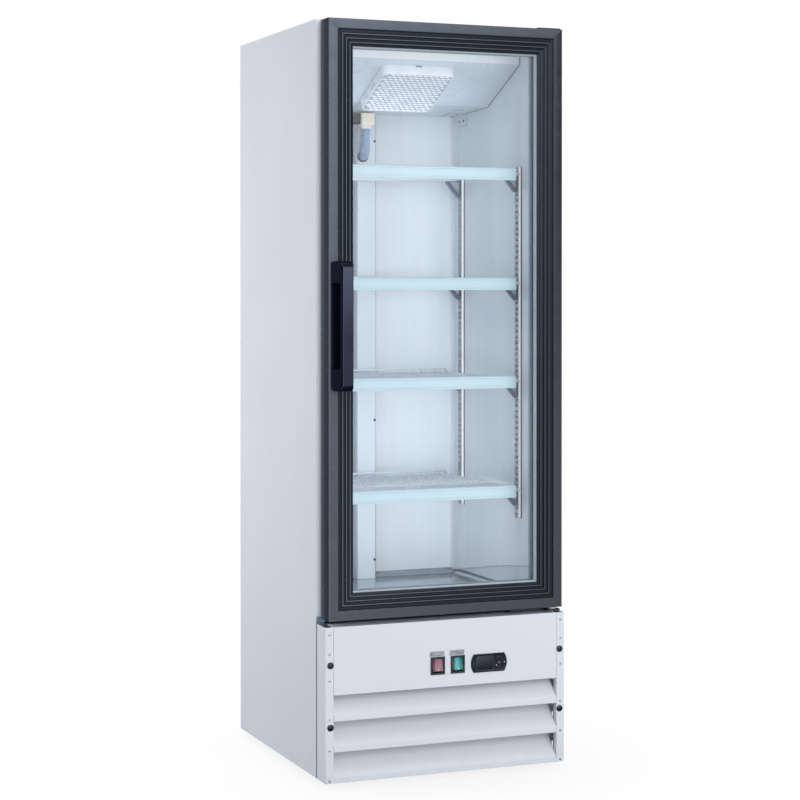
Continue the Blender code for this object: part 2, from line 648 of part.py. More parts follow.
def door_ring(profile):
    """Run an (inset, depth) profile round the door with mitred corners."""
    shape = bmesh.new()
    rings = []
    for sign, at_top in ((-1, False), (1, False), (1, True), (-1, True)):
        rings.append([shape.verts.new(point(sign * (DOOR_X - inset), depth,
                                            DOOR_TOP - inset if at_top else DOOR_LOW + inset))
                      for inset, depth in profile])
    count = len(profile)
    for k in range(4):
        ring, following = rings[k], rings[(k + 1) % 4]
        for i in range(count):
            j = (i + 1) % count
            shape.faces.new((ring[i], ring[j], following[j], following[i]))
    return shape


door = finish(door_ring(FRAME_PROFILE), "door_frame",
              material("slate_door_profile", (0.035, 0.042, 0.055), rough=0.35),
              origin=point(*HINGE, DOOR_LOW))
for bore_low, bore_top in ((DOOR_LOW - PAST, DOOR_LOW + 18), (DOOR_TOP - 18, DOOR_TOP + PAST)):
    cut_turned(door, point(*HINGE, 0), [(HINGE_BORE, bore_low), (HINGE_BORE, bore_top)], 16)

gasket = door_ring([(GASKET_IN, SEAL_REAR), (GASKET_IN, 48.5), (GASKET_IN + 2.5, DOOR_REAR + GAP),
                    (GASKET_OUT - 2.5, DOOR_REAR + GAP), (GASKET_OUT, 48.5),
                    (GASKET_OUT, SEAL_REAR)])
finish(gasket, "door_gasket", material("grey_pvc", (0.45, 0.48, 0.50), rough=0.6))

glass = material("clear_glass", (0.80, 0.88, 0.88), rough=0.02, metal=0.0, alpha=0.15)
PANE_X = DOOR_X - GLASS_IN
for name, front in (("glass_outer_pane", PANE_FRONT), ("glass_inner_pane", SPACER_REAR + GAP)):
    box(name, glass, -PANE_X, PANE_X, front, front + PANE,
        DOOR_LOW + GLASS_IN, DOOR_TOP - GLASS_IN)

spacer = door_ring([(GLASS_IN + 3.5, SPACER_REAR), (GLASS_IN + 3.5, SPACER_FRONT),
                    (57.2, SPACER_FRONT), (58.0, SPACER_FRONT + 1.2),
                    (58.0, SPACER_REAR - 1.2), (57.2, SPACER_REAR)])
finish(spacer, "glass_spacer",
       material("aluminium_spacer", (0.72, 0.74, 0.76), rough=0.3, metal=0.9))

# ---------------------------------------------------------------------- handle
HANDLE_LEFT, HANDLE_RIGHT = -253.5, -227.8
HANDLE_LOW, HANDLE_TOP = 807.0, 1073.0
HANDLE_BASE = DOOR_FRONT - GAP
HANDLE_FLARE = 8.8             # how far the handle's left side runs out at the door
# Lower half of the handle's side view: depth, distance in from the handle's end.
HANDLE_HALF = ((HANDLE_BASE, 11), (-10, 2.0), (-15, 0), (-35, 0),
               (HANDLE_FRONT + 4, 6), (HANDLE_FRONT, 12))

side_view = ([(depth, HANDLE_LOW + inset) for depth, inset in HANDLE_HALF]
             + [(depth, HANDLE_TOP - inset) for depth, inset in reversed(HANDLE_HALF)])
bar = prism_x(side_view, HANDLE_LEFT, HANDLE_RIGHT)
for vert in bar.verts:
    if vert.co.x < (HANDLE_LEFT + HANDLE_RIGHT) / 2 * MM:
        from_front = vert.co.y / MM + Y_MID - HANDLE_FRONT
        vert.co.x -= HANDLE_FLARE * MM * from_front / (HANDLE_BASE - HANDLE_FRONT)
handle = finish(bar, "door_handle",
                material("gloss_black_handle", (0.015, 0.017, 0.03), rough=0.15))
# Finger recess, open to the left.
cut_box(handle, HANDLE_LEFT - 15, HANDLE_RIGHT - 4.5, -40.5, -7.5,
        HANDLE_LOW + 45, HANDLE_TOP - 45)

# ---------------------------------------------------------------------- hinges
# Each is an angle against the cabinet, with a pin into the door.
hinge_mat = material("dark_hinge_steel", (0.05, 0.055, 0.065), rough=0.4, metal=0.6)
LEAF_FRONT = 53.4              # front of the upright leaf of both angles
lower = box("hinge_bracket_bottom", hinge_mat, 160, 266, 30, SEAL_REAR, 323.5, 327.5)
join_box(lower, 160, 266, LEAF_FRONT, SEAL_REAR, 304, 326)
join_box(lower, 238, 268, 10, 45, 323.5, 327.5)
collar_top = DOOR_LOW - CLEARANCE
join_turned(lower, point(*HINGE, 0),
            [(7, 325), (7, collar_top), (HINGE_PIN, collar_top), (HINGE_PIN, 348)], 16)
upper = box("hinge_bracket_top", hinge_mat, 216, 268, 10, SEAL_REAR, 1571.9, 1574.9)
join_box(upper, 216, 268, LEAF_FRONT, SEAL_REAR, 1559.5, 1573)
join_turned(upper, point(*HINGE, 0), [(HINGE_PIN, 1556), (HINGE_PIN, 1573)], 16)

# ------------------------------------------------------------------ compressor
COMP = (120, 420)              # centre: x, depth
dome = turned([point(*COMP, 0)],
              [(78, 22), (84, 40), (84, 120), (70, 158), (40, 176), (15, 181)], 28)
compressor = finish(dome, "compressor",
                    material("compressor_black", (0.02, 0.02, 0.022), rough=0.35), smooth=True)
# Base plate, four mounts and the plate under the dome.
join_box(compressor, 30, 210, 350, 490, 3.4, 7)
for mount_x in (COMP[0] - 75, COMP[0] + 75):
    for mount_depth in (COMP[1] - 55, COMP[1] + 55):
        join_turned(compressor, point(mount_x, mount_depth, 0), [(9, 6), (9, 24)], 12)
join_box(compressor, 36, 204, 356, 484, 22, 28)

# ----------------------------------------------------------- condenser and fan
COIL_LEFT, COIL_RIGHT = -225, 75
COIL_LOW, COIL_TOP = 22, 282
FAN_X = (COIL_LEFT + COIL_RIGHT) / 2
FAN_H = (COIL_LOW + COIL_TOP) / 2
fan_axis = point(FAN_X, 0, FAN_H)

finned_block("condenser_coil",
             material("condenser_fins", (0.55, 0.56, 0.58), rough=0.45, metal=0.8),
             (COIL_LEFT, COIL_RIGHT, 80, 118, COIL_LOW, COIL_TOP),
             first=9, pitch=12, count=24, margin=8)

# Shroud plate with a bracket across its rear that carries the motor.
shroud = box("condenser_fan_shroud", galvanised, COIL_LEFT, COIL_RIGHT, 121, 123,
             COIL_LOW - 2, COIL_TOP + 2)
drill(shroud, point(FAN_X, 122, FAN_H), radius=112, segments=32, axis="Y")
join_box(shroud, *around(FAN_X, FAN_H, 115, 8, 176, 179))
for arm_x in (FAN_X - 112, FAN_X + 112):
    join_box(shroud, *around(arm_x, FAN_H, 3, 8, 122, 179))
join_turned(shroud, fan_axis, [(34, 173), (34, 215), (26, 222)], 20, "Y")

fan_centre = point(FAN_X, 148, FAN_H)
hub = turned([fan_axis], [(20, 134), (24, 137), (24, 160), (10, 164)], 18, "Y")
fan = finish(hub, "condenser_fan_blade", fan_mat, origin=fan_centre, smooth=True)
join_blades(fan, fan_centre, root=20, tip=103, width=46, thick=1.8, pitch=24, axis="Y")

# -------------------------------------------------------------- discharge line
# Knots from the compressor round to the condenser: x, depth, height.
LINE_KNOTS = (
    (120, 331.5, 70), (120, 300, 70), (150, 262, 70), (200, 240, 74), (226, 212, 90),
    (230, 170, 120), (218, 128, 160), (180, 102, 190), (120, 99, 200), (76.5, 99, 200))


def smooth_path(knots, steps):
    """Catmull-Rom curve through the knots."""
    path = []
    for i in range(len(knots) - 1):
        before, start, end = knots[max(i - 1, 0)], knots[i], knots[i + 1]
        after = knots[min(i + 2, len(knots) - 1)]
        for k in range(steps):
            part = k / steps
            path.append(0.5 * (2 * start + (end - before) * part
                               + (2 * before - 5 * start + 4 * end - after) * part * part
                               + (3 * start - before - 3 * end + after) * part ** 3))
    path.append(knots[-1])
    return path


line_path = smooth_path([point(*knot) for knot in LINE_KNOTS], steps=3)
finish(tube(line_path, radius=4.0, segments=8), "discharge_line",
       material("copper_tube", (0.72, 0.35, 0.20), rough=0.3, metal=1.0), smooth=True)

# -------------------------------------------------------------- levelling feet
foot_mat = material("black_foot", (0.03, 0.03, 0.035), rough=0.5)
FOOT_PROFILE = [(16, -FOOT_H), (18, -10.5), (18, -6), (9, -3), (5.0, -1.5), (5.0, 18), (4.2, 19)]
for name, foot_x, foot_depth in FEET:
    finish(turned([point(foot_x, foot_depth, 0)], FOOT_PROFILE, 16), name, foot_mat,
           origin=point(foot_x, foot_depth, -FOOT_H), smooth=True)
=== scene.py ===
# Upright display refrigerator: a white casing on a lower cover, a framed glass door and four wire
# shelves inside. x runs from left (-) to right (+) as seen from the front, y from front to back
# and z up. Sizes are in millimetres: x, depth behind the lower cover's front plane and height
# above the casing's bottom edge. point() turns them into metres.
import bpy
import bmesh
import json
import math
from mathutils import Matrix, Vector


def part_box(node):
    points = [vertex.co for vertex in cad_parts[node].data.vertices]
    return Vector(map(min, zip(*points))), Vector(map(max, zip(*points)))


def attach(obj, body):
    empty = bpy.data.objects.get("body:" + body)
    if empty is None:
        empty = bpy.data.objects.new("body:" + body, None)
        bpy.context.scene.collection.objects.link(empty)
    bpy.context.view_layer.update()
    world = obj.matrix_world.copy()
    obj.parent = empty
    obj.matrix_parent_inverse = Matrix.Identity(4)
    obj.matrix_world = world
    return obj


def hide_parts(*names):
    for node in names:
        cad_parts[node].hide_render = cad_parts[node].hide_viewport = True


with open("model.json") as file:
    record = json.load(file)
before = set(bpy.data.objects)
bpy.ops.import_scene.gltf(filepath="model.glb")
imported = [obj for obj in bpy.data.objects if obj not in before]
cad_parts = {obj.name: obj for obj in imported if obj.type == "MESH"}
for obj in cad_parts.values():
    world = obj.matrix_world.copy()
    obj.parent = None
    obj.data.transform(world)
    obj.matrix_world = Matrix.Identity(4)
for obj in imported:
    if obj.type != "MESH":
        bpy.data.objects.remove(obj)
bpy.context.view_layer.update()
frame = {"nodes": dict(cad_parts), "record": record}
nodes = frame["nodes"]

MM = 0.001
PANEL_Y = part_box("control_panel")[0].y
SHELL_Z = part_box("cabinet_shell")[0].z

SIDES = ((-1, "left"), (1, "right"))
CORNERS = ("front_left", "front_right", "rear_left", "rear_right")
DOOR_HALF, DOOR_BOTTOM, DOOR_TOP = 266.5, 333.3, 1571.5
WALL = 232.4                # half width inside the liner
LINER_FLOOR, LINER_BACK = 343.5, 498.0
SWITCH_X = {"red": -22.6, "green": 23.2}


def depth_y(depth):
    return PANEL_Y + depth * MM


def height_z(height):
    return SHELL_Z + height * MM


def point(x, depth, height):
    """Millimetres to a place in metres."""
    return Vector((x * MM, depth_y(depth), height_z(height)))


def cad_span(node):
    """A CAD piece's front and back depth, bottom and top height, in mm."""
    low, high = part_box(node)
    return ((low.y - PANEL_Y) / MM, (high.y - PANEL_Y) / MM,
            (low.z - SHELL_Z) / MM, (high.z - SHELL_Z) / MM)


# ---------------------------------------------------------------- shader graphs
MATERIALS = {}


class Graph:
    """Short ways to add shader nodes to a tree. Values are sockets, numbers or RGB tuples."""

    def __init__(self, tree):
        self.tree = tree

    def feed(self, socket, value):
        if isinstance(value, bpy.types.NodeSocket):
            self.tree.links.new(value, socket)
        elif socket.type == "RGBA":
            socket.default_value = (*value, 1)
        else:
            socket.default_value = value

    def node(self, kind, inputs=None, **settings):
        made = self.tree.nodes.new(kind)
        for key, value in settings.items():
            setattr(made, key, value)
        for key, value in (inputs or {}).items():
            self.feed(made.inputs[key], value)
        return made

    def math(self, operation, *values):
        return self.node("ShaderNodeMath", dict(enumerate(values)), operation=operation).outputs[0]

    def times(self, first, second):
        return self.math("MULTIPLY", first, second)

    def remap(self, value, span=(0.3, 0.7), to=(0.0, 1.0), smooth=False):
        """Maps the span onto another range, clamped."""
        inputs = {"From Min": span[0], "From Max": span[1], "To Min": to[0], "To Max": to[1],
                  "Value": value}
        return self.node("ShaderNodeMapRange", inputs,
                         interpolation_type="SMOOTHSTEP" if smooth else "LINEAR").outputs["Result"]

    def mix(self, factor, first, second, blend="MIX"):
        """Mixes two colours."""
        return self.node("ShaderNodeMix", {0: factor, 6: first, 7: second},
                         data_type="RGBA", blend_type=blend).outputs[2]

    def mix_shaders(self, factor, first, second):
        return self.node("ShaderNodeMixShader", {0: factor, 1: first, 2: second}).outputs[0]

    def glowing(self, kind, colour, strength):
        """An emission or background shader."""
        return self.node(kind, {"Color": colour, "Strength": strength}).outputs[0]


class Material(Graph):
    """A named material around one Principled BSDF."""

    def __init__(self, name, colour, rough, metallic=0.0, specular=0.5):
        made = bpy.data.materials.new(name)
        MATERIALS[name] = made
        made.use_nodes = True
        super().__init__(made.node_tree)
        self.bsdf = self.tree.nodes["Principled BSDF"]
        self.colour = colour
        self.rough = rough
        self.set("Base Color", colour)
        self.set("Roughness", rough)
        self.set("Metallic", metallic)
        self.set("Specular IOR Level", specular)
        self.coords = self.node("ShaderNodeTexCoord").outputs["Object"]
        self.normal = None

    def set(self, name, value):
        self.feed(self.bsdf.inputs[name], value)

    def output(self, shader):
        self.feed(self.tree.nodes["Material Output"].inputs[0], shader)

    def noise(self, scale, detail=2.0, rough=0.5, stretch=None):
        coords = self.coords
        if stretch:
            inputs = {"Scale": stretch, "Vector": coords}
            coords = self.node("ShaderNodeMapping", inputs).outputs["Vector"]
        inputs = {"Scale": scale, "Detail": detail, "Roughness": rough, "Vector": coords}
        return self.node("ShaderNodeTexNoise", inputs).outputs["Fac"]

    def scaled(self, colour, gain):
        inputs = {0: colour, "Scale": gain}
        return self.node("ShaderNodeVectorMath", inputs, operation="SCALE").outputs[0]

    def axis(self, axis):
        """The object coordinate along X, Y or Z, in metres."""
        return self.node("ShaderNodeSeparateXYZ", {0: self.coords}).outputs[axis]

    def facing(self, axis):
        """The flat surface normal's X, Y or Z."""
        normal = self.node("ShaderNodeNewGeometry").outputs["True Normal"]
        return self.node("ShaderNodeSeparateXYZ", {0: normal}).outputs[axis]

    def vary(self, spread, scale, detail=3.0, stretch=None):
        """Soft variation about the material's colour."""
        factor = self.remap(self.noise(scale, detail, 0.55, stretch))
        darker = tuple(max(0.0, c * (1 - spread)) for c in self.colour)
        lighter = tuple(min(1.0, c * (1 + spread)) for c in self.colour)
        colour = self.mix(factor, darker, lighter)
        self.set("Base Color", colour)
        return colour

    def vary_rough(self, spread, scale, detail=4.0, stretch=None):
        to = (max(0.02, self.rough - spread), min(1.0, self.rough + spread))
        self.set("Roughness", self.remap(self.noise(scale, detail, 0.6, stretch), to=to))

    def bump(self, strength, distance, **noise):
        """Noise relief, added to the bumps before it; distance in metres."""
        inputs = {"Strength": strength, "Distance": distance, "Height": self.noise(**noise)}
        if self.normal is not None:
            inputs["Normal"] = self.normal
        self.normal = self.node("ShaderNodeBump", inputs).outputs["Normal"]
        self.set("Normal", self.normal)

    def coat(self, weight, rough):
        self.set("Coat Weight", weight)
        self.set("Coat Roughness", rough)

    def glow(self, colour, strength):
        self.set("Emission Color", colour)
        self.set("Emission Strength", strength)

    def worn_and_highlit_edges(self, colour, light):
        """Lightens the convex edges in broken patches, where a rounded normal leaves the true one:
        partly rubbed edges, partly a painted edge highlight.
        """
        soft = self.node("ShaderNodeBevel", {"Radius": 0.0008}, samples=4).outputs[0]
        normal = self.node("ShaderNodeNewGeometry").outputs["Normal"]
        dot = self.node("ShaderNodeVectorMath", {0: soft, 1: normal}, operation="DOT_PRODUCT")
        edge = self.remap(dot.outputs["Value"], span=(0.75, 0.99), to=(0.5, 0.0))
        patches = self.noise(scale=60.0, detail=4.0, rough=0.6)
        patches = self.remap(patches, span=(0.35, 0.65), to=(0.2, 1.0))
        self.set("Base Color", self.mix(self.times(edge, patches), colour, light))


# ---------------------------------------------------------------- material families
def srgb(*levels):
    """sRGB levels of 0 to 255 as a linear colour."""
    def linear(level):
        level /= 255.0
        return level / 12.92 if level <= 0.04045 else ((level + 0.055) / 1.055) ** 2.4
    return tuple(linear(level) for level in levels)


WHITE = srgb(226, 231, 238)


def darkened_low(mat, colour, low_colour):
    """Darker in broken patches over the lowest 90 mm."""
    fade = mat.remap(mat.axis("Z"), span=(0.0, 0.09), to=(0.35, 0.0))
    patches = mat.remap(mat.noise(scale=30.0, detail=5.0, rough=0.65), span=(0.4, 0.75))
    return mat.mix(mat.times(fade, patches), colour, low_colour)


def waviness(mat):
    mat.bump(strength=0.04, distance=0.003, scale=5.0)


def paint_surface(mat, peel=0.10):
    """Fine orange peel, broad waves and a thin coat."""
    mat.vary_rough(spread=0.05, scale=7.0)
    mat.bump(strength=peel, distance=0.00025, scale=360.0)
    waviness(mat)
    mat.coat(weight=0.2, rough=0.2)


def paint(name, colour, rough, peel):
    mat = Material(name, colour, rough)
    base = mat.vary(spread=0.015, scale=1.6, detail=2.0)
    mat.set("Base Color", darkened_low(mat, base, tuple(c * 0.80 for c in colour)))
    paint_surface(mat, peel)


def plastic(name, colour, rough, grain, scale=900.0, spread=0.10, specular=0.5,
            edge_rub_and_highlight=None, tint=None):
    """Grained plastic; edge_rub_and_highlight is the colour of its rubbed, painted-highlight edges,
    tint that of reflections.
    """
    mat = Material(name, colour, rough, specular=specular)
    if tint:
        mat.set("Specular Tint", tint)
    base = mat.vary(spread, scale=25.0, detail=4.0)
    if edge_rub_and_highlight:
        mat.worn_and_highlit_edges(base, edge_rub_and_highlight)
    mat.vary_rough(min(0.07, rough * 0.4), scale=40.0)
    mat.bump(strength=grain, distance=0.0002, scale=scale, detail=3.0, rough=0.6)


def metal(name, colour, rough, brush, relief, spread, metallic):
    mat = Material(name, colour, rough, metallic)
    mat.vary(spread, scale=18.0, detail=4.0, stretch=brush)
    mat.vary_rough(spread=0.08, scale=30.0, detail=5.0, stretch=brush)
    mat.bump(strength=relief, distance=0.0001, scale=260.0, detail=4.0, rough=0.6, stretch=brush)


def opal(name, colour, glow):
    """Opal plastic that carries a little of its lamp's light."""
    mat = Material(name, colour, rough=0.28)
    mat.vary(spread=0.02, scale=30.0)
    mat.vary_rough(spread=0.05, scale=30.0, detail=3.0)
    mat.glow((0.96, 0.98, 1.0), mat.remap(mat.noise(scale=18.0), to=(glow * 0.85, glow * 1.15)))


def glowing_mark(name, colour, glow):
    mat = Material(name, colour, rough=0.25)
    mat.vary(spread=0.1, scale=200.0)
    mat.glow(colour, glow)


def lens(name, centre, left, middle, right):
    """Tinted rocker lens with painted light: a painted shadow of the bezel down its left flank, a
    painted lit middle, a dimmer right, painted shade low down and fine vertical streaks.
    """
    mat = Material(name, middle, rough=0.12)
    half = 11.5
    across = mat.remap(mat.axis("X"), span=((centre - half) * MM, (centre + half) * MM))
    streaks = mat.noise(scale=260.0, detail=3.0, rough=0.6, stretch=(1, 1, 0.25))
    across = mat.math("ADD", across, mat.remap(streaks, to=(-0.07, 0.07)))
    colour = mat.mix(mat.remap(across, span=(0.10, 0.30), smooth=True), left, middle)
    colour = mat.mix(mat.remap(across, span=(0.52, 0.85), smooth=True), colour, right)
    # Painted shade: the lens darkens towards its bottom.
    low = mat.remap(mat.axis("Z"), span=(height_z(213), height_z(221)), to=(0.55, 1.0))
    mat.set("Base Color", mat.scaled(colour, low))
    mat.vary_rough(spread=0.05, scale=60.0, detail=3.0)
    mat.set("Specular IOR Level", 0.35)
    mat.bump(strength=0.1, distance=0.0002, scale=300.0, stretch=(1, 1, 0.3))


# ---------------------------------------------------------------- single materials
def galvanised():
    """Zinc sheet with a fine crystal pattern."""
    colour, rough = (0.55, 0.58, 0.61), 0.42
    mat = Material("galvanised", colour, rough, metallic=0.85)
    cells = mat.node("ShaderNodeTexVoronoi", {"Scale": 90.0, "Vector": mat.coords})
    parts = mat.node("ShaderNodeSeparateColor", {0: cells.outputs["Color"]}).outputs
    darker = tuple(c * 0.8 for c in colour)
    lighter = tuple(min(1, c * 1.15) for c in colour)
    mat.set("Base Color", mat.mix(parts[0], darker, lighter))
    mat.set("Roughness", mat.remap(parts[1], span=(0, 1), to=(rough - 0.12, rough + 0.12)))
    mat.bump(strength=0.08, distance=0.0002, scale=120.0, detail=3.0)


def hose_plastic():
    """Tinted plastic that is partly see-through where it faces the eye."""
    colour = srgb(150, 176, 205)
    mat = Material("drain_hose", colour, rough=0.12)
    mat.vary(spread=0.12, scale=90.0)
    mat.vary_rough(spread=0.05, scale=60.0, detail=3.0)
    mat.bump(strength=0.1, distance=0.0002, scale=300.0)
    pale = tuple(0.5 + 0.5 * c for c in colour)
    clear = mat.node("ShaderNodeBsdfTransparent", {"Color": pale}).outputs[0]
    facing = mat.node("ShaderNodeLayerWeight", {"Blend": 0.35}).outputs["Facing"]
    factor = mat.remap(facing, span=(0.0, 1.0), to=(0.35, 0.0))
    mat.output(mat.mix_shaders(factor, mat.bsdf.outputs[0], clear))


def clear_glass():
    made = bpy.data.materials.new("clear_glass")
    MATERIALS["clear_glass"] = made
    made.use_nodes = True
    made.node_tree.nodes.clear()
    graph = Graph(made.node_tree)
    tint = (0.990, 0.994, 0.997)
    coords = graph.node("ShaderNodeTexCoord").outputs["Object"]
    inputs = {"Scale": 7.0, "Detail": 5.0, "Vector": coords}
    smears = graph.node("ShaderNodeTexNoise", inputs).outputs["Fac"]
    rough = graph.remap(smears, span=(0.0, 1.0), to=(0.015, 0.06))
    glossy = graph.node("ShaderNodeBsdfGlossy", {"Roughness": rough}).outputs[0]
    colour = graph.mix(smears, tint, tuple(c * 0.985 for c in tint))
    clear = graph.node("ShaderNodeBsdfTransparent", {"Color": colour}).outputs[0]
    fresnel = graph.node("ShaderNodeLayerWeight", {"Blend": 0.12}).outputs["Fresnel"]
    reflection = graph.remap(fresnel, span=(0.0, 1.0), to=(0.0175, 0.55))
    shader = graph.mix_shaders(reflection, clear, glossy)
    graph.node("ShaderNodeOutputMaterial", {0: shader})


def liner_coating():
    """White coated aluminium: streaky back, made brighter towards its corners by painted light,
    glossy sides, a bright metal floor.
    """
    mat = Material("liner_coating", srgb(228, 235, 241), rough=0.2)
    wall = mat.vary(spread=0.03, scale=14.0, stretch=(4.0, 4.0, 0.12))
    broad = mat.noise(scale=5.0, stretch=(2.2, 2.2, 0.15))
    broad = mat.remap(broad, span=(0.35, 0.65), to=(0.0, 0.6))
    wall = mat.mix(broad, wall, srgb(218, 228, 236))
    # Painted light: the back sheet's colour dims in the middle and brightens towards the corners.
    back = mat.remap(mat.facing("Y"), span=(-0.95, -0.7), to=(1.0, 0.0))
    painted_light_gain = mat.remap(mat.math("ABSOLUTE", mat.axis("X")), span=(0.03, 0.225), to=(0.76, 1.17))
    gain = mat.math("ADD", mat.times(back, mat.math("SUBTRACT", painted_light_gain, 1.0)), 1.0)
    wall = mat.scaled(wall, gain)
    floor_z = height_z(LINER_FLOOR)
    upward = mat.remap(mat.facing("Z"), span=(0.5, 0.9))
    low = mat.remap(mat.axis("Z"), span=(floor_z + 0.004, floor_z + 0.0005))
    on_floor = mat.times(upward, low)
    scuffs = mat.noise(scale=22.0, detail=6.0, rough=0.65, stretch=(1, 3, 1))
    scuffs = mat.remap(scuffs, span=(0.35, 0.7))
    floor_colour = mat.mix(scuffs, srgb(178, 190, 201), srgb(158, 172, 184))
    mat.set("Base Color", mat.mix(on_floor, wall, floor_colour))
    mat.set("Metallic", mat.times(on_floor, 0.75))
    wall_rough = mat.noise(scale=16.0, detail=4.0, rough=0.6, stretch=(1, 1, 0.15))
    wall_rough = mat.remap(wall_rough, to=(0.07, 0.14))
    wall_rough = mat.times(wall_rough, mat.math("SUBTRACT", 1.0, on_floor))
    mat.set("Roughness", mat.math("ADD", wall_rough, mat.times(on_floor, 0.14)))
    mat.bump(strength=0.10, distance=0.003, scale=7.0, stretch=(1.6, 1.6, 0.2))


def duct_coating():
    """Coated sheet of the rear duct cover, darkened as painted shade and brighter towards the
    bottom as painted light.
    """
    mat = Material("duct_cover_coating", srgb(196, 205, 213), rough=0.22)
    base = mat.vary(spread=0.02, scale=9.0, stretch=(4.0, 4.0, 0.12))
    # Painted light: brighter towards the bottom.
    gain = mat.remap(mat.axis("Z"), span=(0.36, 1.00), to=(1.12, 1.02))
    mat.set("Base Color", mat.scaled(base, gain))
    mat.vary_rough(spread=0.04, scale=12.0, detail=3.0, stretch=(1, 1, 0.2))
    mat.bump(strength=0.08, distance=0.002, scale=7.0, stretch=(1.6, 1.6, 0.2))


def evaporator_coating():
    """Coated sheet under the evaporator, darkened as painted shade, with its upright front lip
    lightened as a painted highlight.
    """
    mat = Material("evaporator_cover_coating", srgb(210, 221, 231), rough=0.3)
    base = mat.vary(spread=0.02, scale=3.0)
    # Painted highlight: the upright lip, which the lamps barely reach, is lightened.
    lip = mat.remap(mat.facing("Y"), span=(-0.97, -0.85), to=(1.0, 0.0))
    mat.set("Base Color", mat.mix(lip, base, srgb(246, 250, 253)))
    mat.vary_rough(spread=0.05, scale=7.0)
    waviness(mat)


def casing_paint():
    """Casing's white paint with painted light: painted shade turns the front below the door
    blue-grey, and a painted glow lights the front beside the door.
    """
    mat = Material("casing_paint", WHITE, rough=0.34)
    base = mat.vary(spread=0.015, scale=1.6, detail=2.0)
    base = darkened_low(mat, base, srgb(205, 210, 217))
    # Painted shade: the front below the door, in the door's shadow, turns blue-grey.
    front = mat.remap(mat.facing("Y"), span=(-0.95, -0.8), to=(1.0, 0.0))
    low = mat.remap(mat.axis("Z"), span=(height_z(334), height_z(338)), to=(1.0, 0.0))
    mat.set("Base Color", mat.mix(mat.times(front, low), base, srgb(128, 144, 168)))
    paint_surface(mat)
    # Painted light: a glow on the front flange beside the door.
    side = mat.remap(mat.math("ABSOLUTE", mat.axis("X")), span=(0.2610, 0.2720), to=(0.7, 1.0))
    outer = mat.remap(mat.math("ABSOLUTE", mat.axis("X")), span=(0.2595, 0.2605))
    beside = mat.times(front, mat.times(side, outer))
    beside = mat.times(beside, mat.math("SUBTRACT", 1.0, low))
    mat.glow((0.86, 0.93, 1.0), mat.times(beside, 0.26))


def cover_paint():
    """White paint of the lower cover; its folded top edge is tinted faintly blue and given a faint
    glow, as painted light.
    """
    mat = Material("cover_paint", WHITE, rough=0.34)
    base = mat.vary(spread=0.015, scale=1.6, detail=2.0)
    # Painted light: the upward top edge tinted faintly blue, with a faint glow below.
    upward = mat.remap(mat.facing("Z"), span=(0.75, 0.95))
    mat.set("Base Color", mat.mix(upward, base, srgb(232, 241, 252)))
    mat.glow((0.62, 0.78, 1.0), mat.times(upward, 0.03))
    paint_surface(mat)


# Painted light across the door profile, highlights on ridges and arris and shade in grooves: (mm in
# from the door's edge, level).
PROFILE_PAINTED_LIGHT = (
    (0.4, 0.75), (2.4, 0.80), (3.4, 0.42), (19.6, 0.42), (20.6, 0.3), (21.4, 0.0),
    (29.9, 0.0), (30.3, 1.0), (31.6, 1.0), (32.1, 0.0), (38.7, 0.0), (39.1, 1.0),
    (40.4, 1.0), (40.9, 0.0), (47.4, 0.0), (47.8, 1.0), (49.1, 1.0), (49.6, 0.0))


def door_plastic():
    """Dark satin extrusion with painted light: painted shade in the grooves, painted highlights on
    the ridges and outer arris, lighter painted side faces and a left bar lighter than the right.
    """
    mat = Material("door_profile_plastic", (0.01, 0.013, 0.02), rough=0.22, specular=0.8)
    mat.set("Specular Tint", (0.76, 0.86, 1.0))
    width = 60.0            # mm that the ramp spans
    from_side = mat.math("SUBTRACT", DOOR_HALF * MM, mat.math("ABSOLUTE", mat.axis("X")))
    from_bottom = mat.math("SUBTRACT", mat.axis("Z"), height_z(DOOR_BOTTOM))
    from_top = mat.math("SUBTRACT", height_z(DOOR_TOP), mat.axis("Z"))
    inset = mat.math("MINIMUM", from_side, mat.math("MINIMUM", from_bottom, from_top))
    inset = mat.times(inset, 1000.0 / width)
    ramp = mat.node("ShaderNodeValToRGB", {0: inset})
    stops = ramp.color_ramp.elements
    ends = list(zip(stops, (PROFILE_PAINTED_LIGHT[0], PROFILE_PAINTED_LIGHT[-1])))
    for stop, (place, level) in ends:
        stop.position = place / width
        stop.color = (level, level, level, 1)
    for place, level in PROFILE_PAINTED_LIGHT[1:-1]:
        stops.new(place / width).color = (level, level, level, 1)
    level = ramp.outputs["Color"]
    patches = mat.remap(mat.noise(scale=24.0, detail=4.0, rough=0.6), to=(0.82, 1.0))
    # Painted light: the level ramp sets dark grooves and light ridge lines.
    colour = mat.mix(mat.times(level, patches), (0.005, 0.0075, 0.013), (0.105, 0.118, 0.142))
    # Painted light: the left bar lighter than the right.
    across = mat.remap(mat.axis("X"), span=(-0.25, 0.25), to=(1.22, 0.62))
    colour = mat.scaled(colour, across)
    # Painted light on the side faces, lighter towards the back.
    edge = mat.remap(inset, span=(0.2 / width, 0.35 / width), to=(1.0, 0.0))
    rearward = mat.remap(mat.axis("Y"), span=(depth_y(14), depth_y(30)))
    rim = mat.mix(rearward, (0.026, 0.030, 0.042), (0.050, 0.064, 0.086))
    mat.set("Base Color", mat.mix(edge, colour, rim))
    # Painted highlights: the ridges are also more specular.
    mat.set("Specular IOR Level", mat.remap(level, span=(0.0, 0.5), to=(0.30, 0.72)))
    mat.vary_rough(spread=0.06, scale=40.0)
    mat.bump(strength=0.03, distance=0.0002, scale=900.0, detail=3.0, rough=0.6)


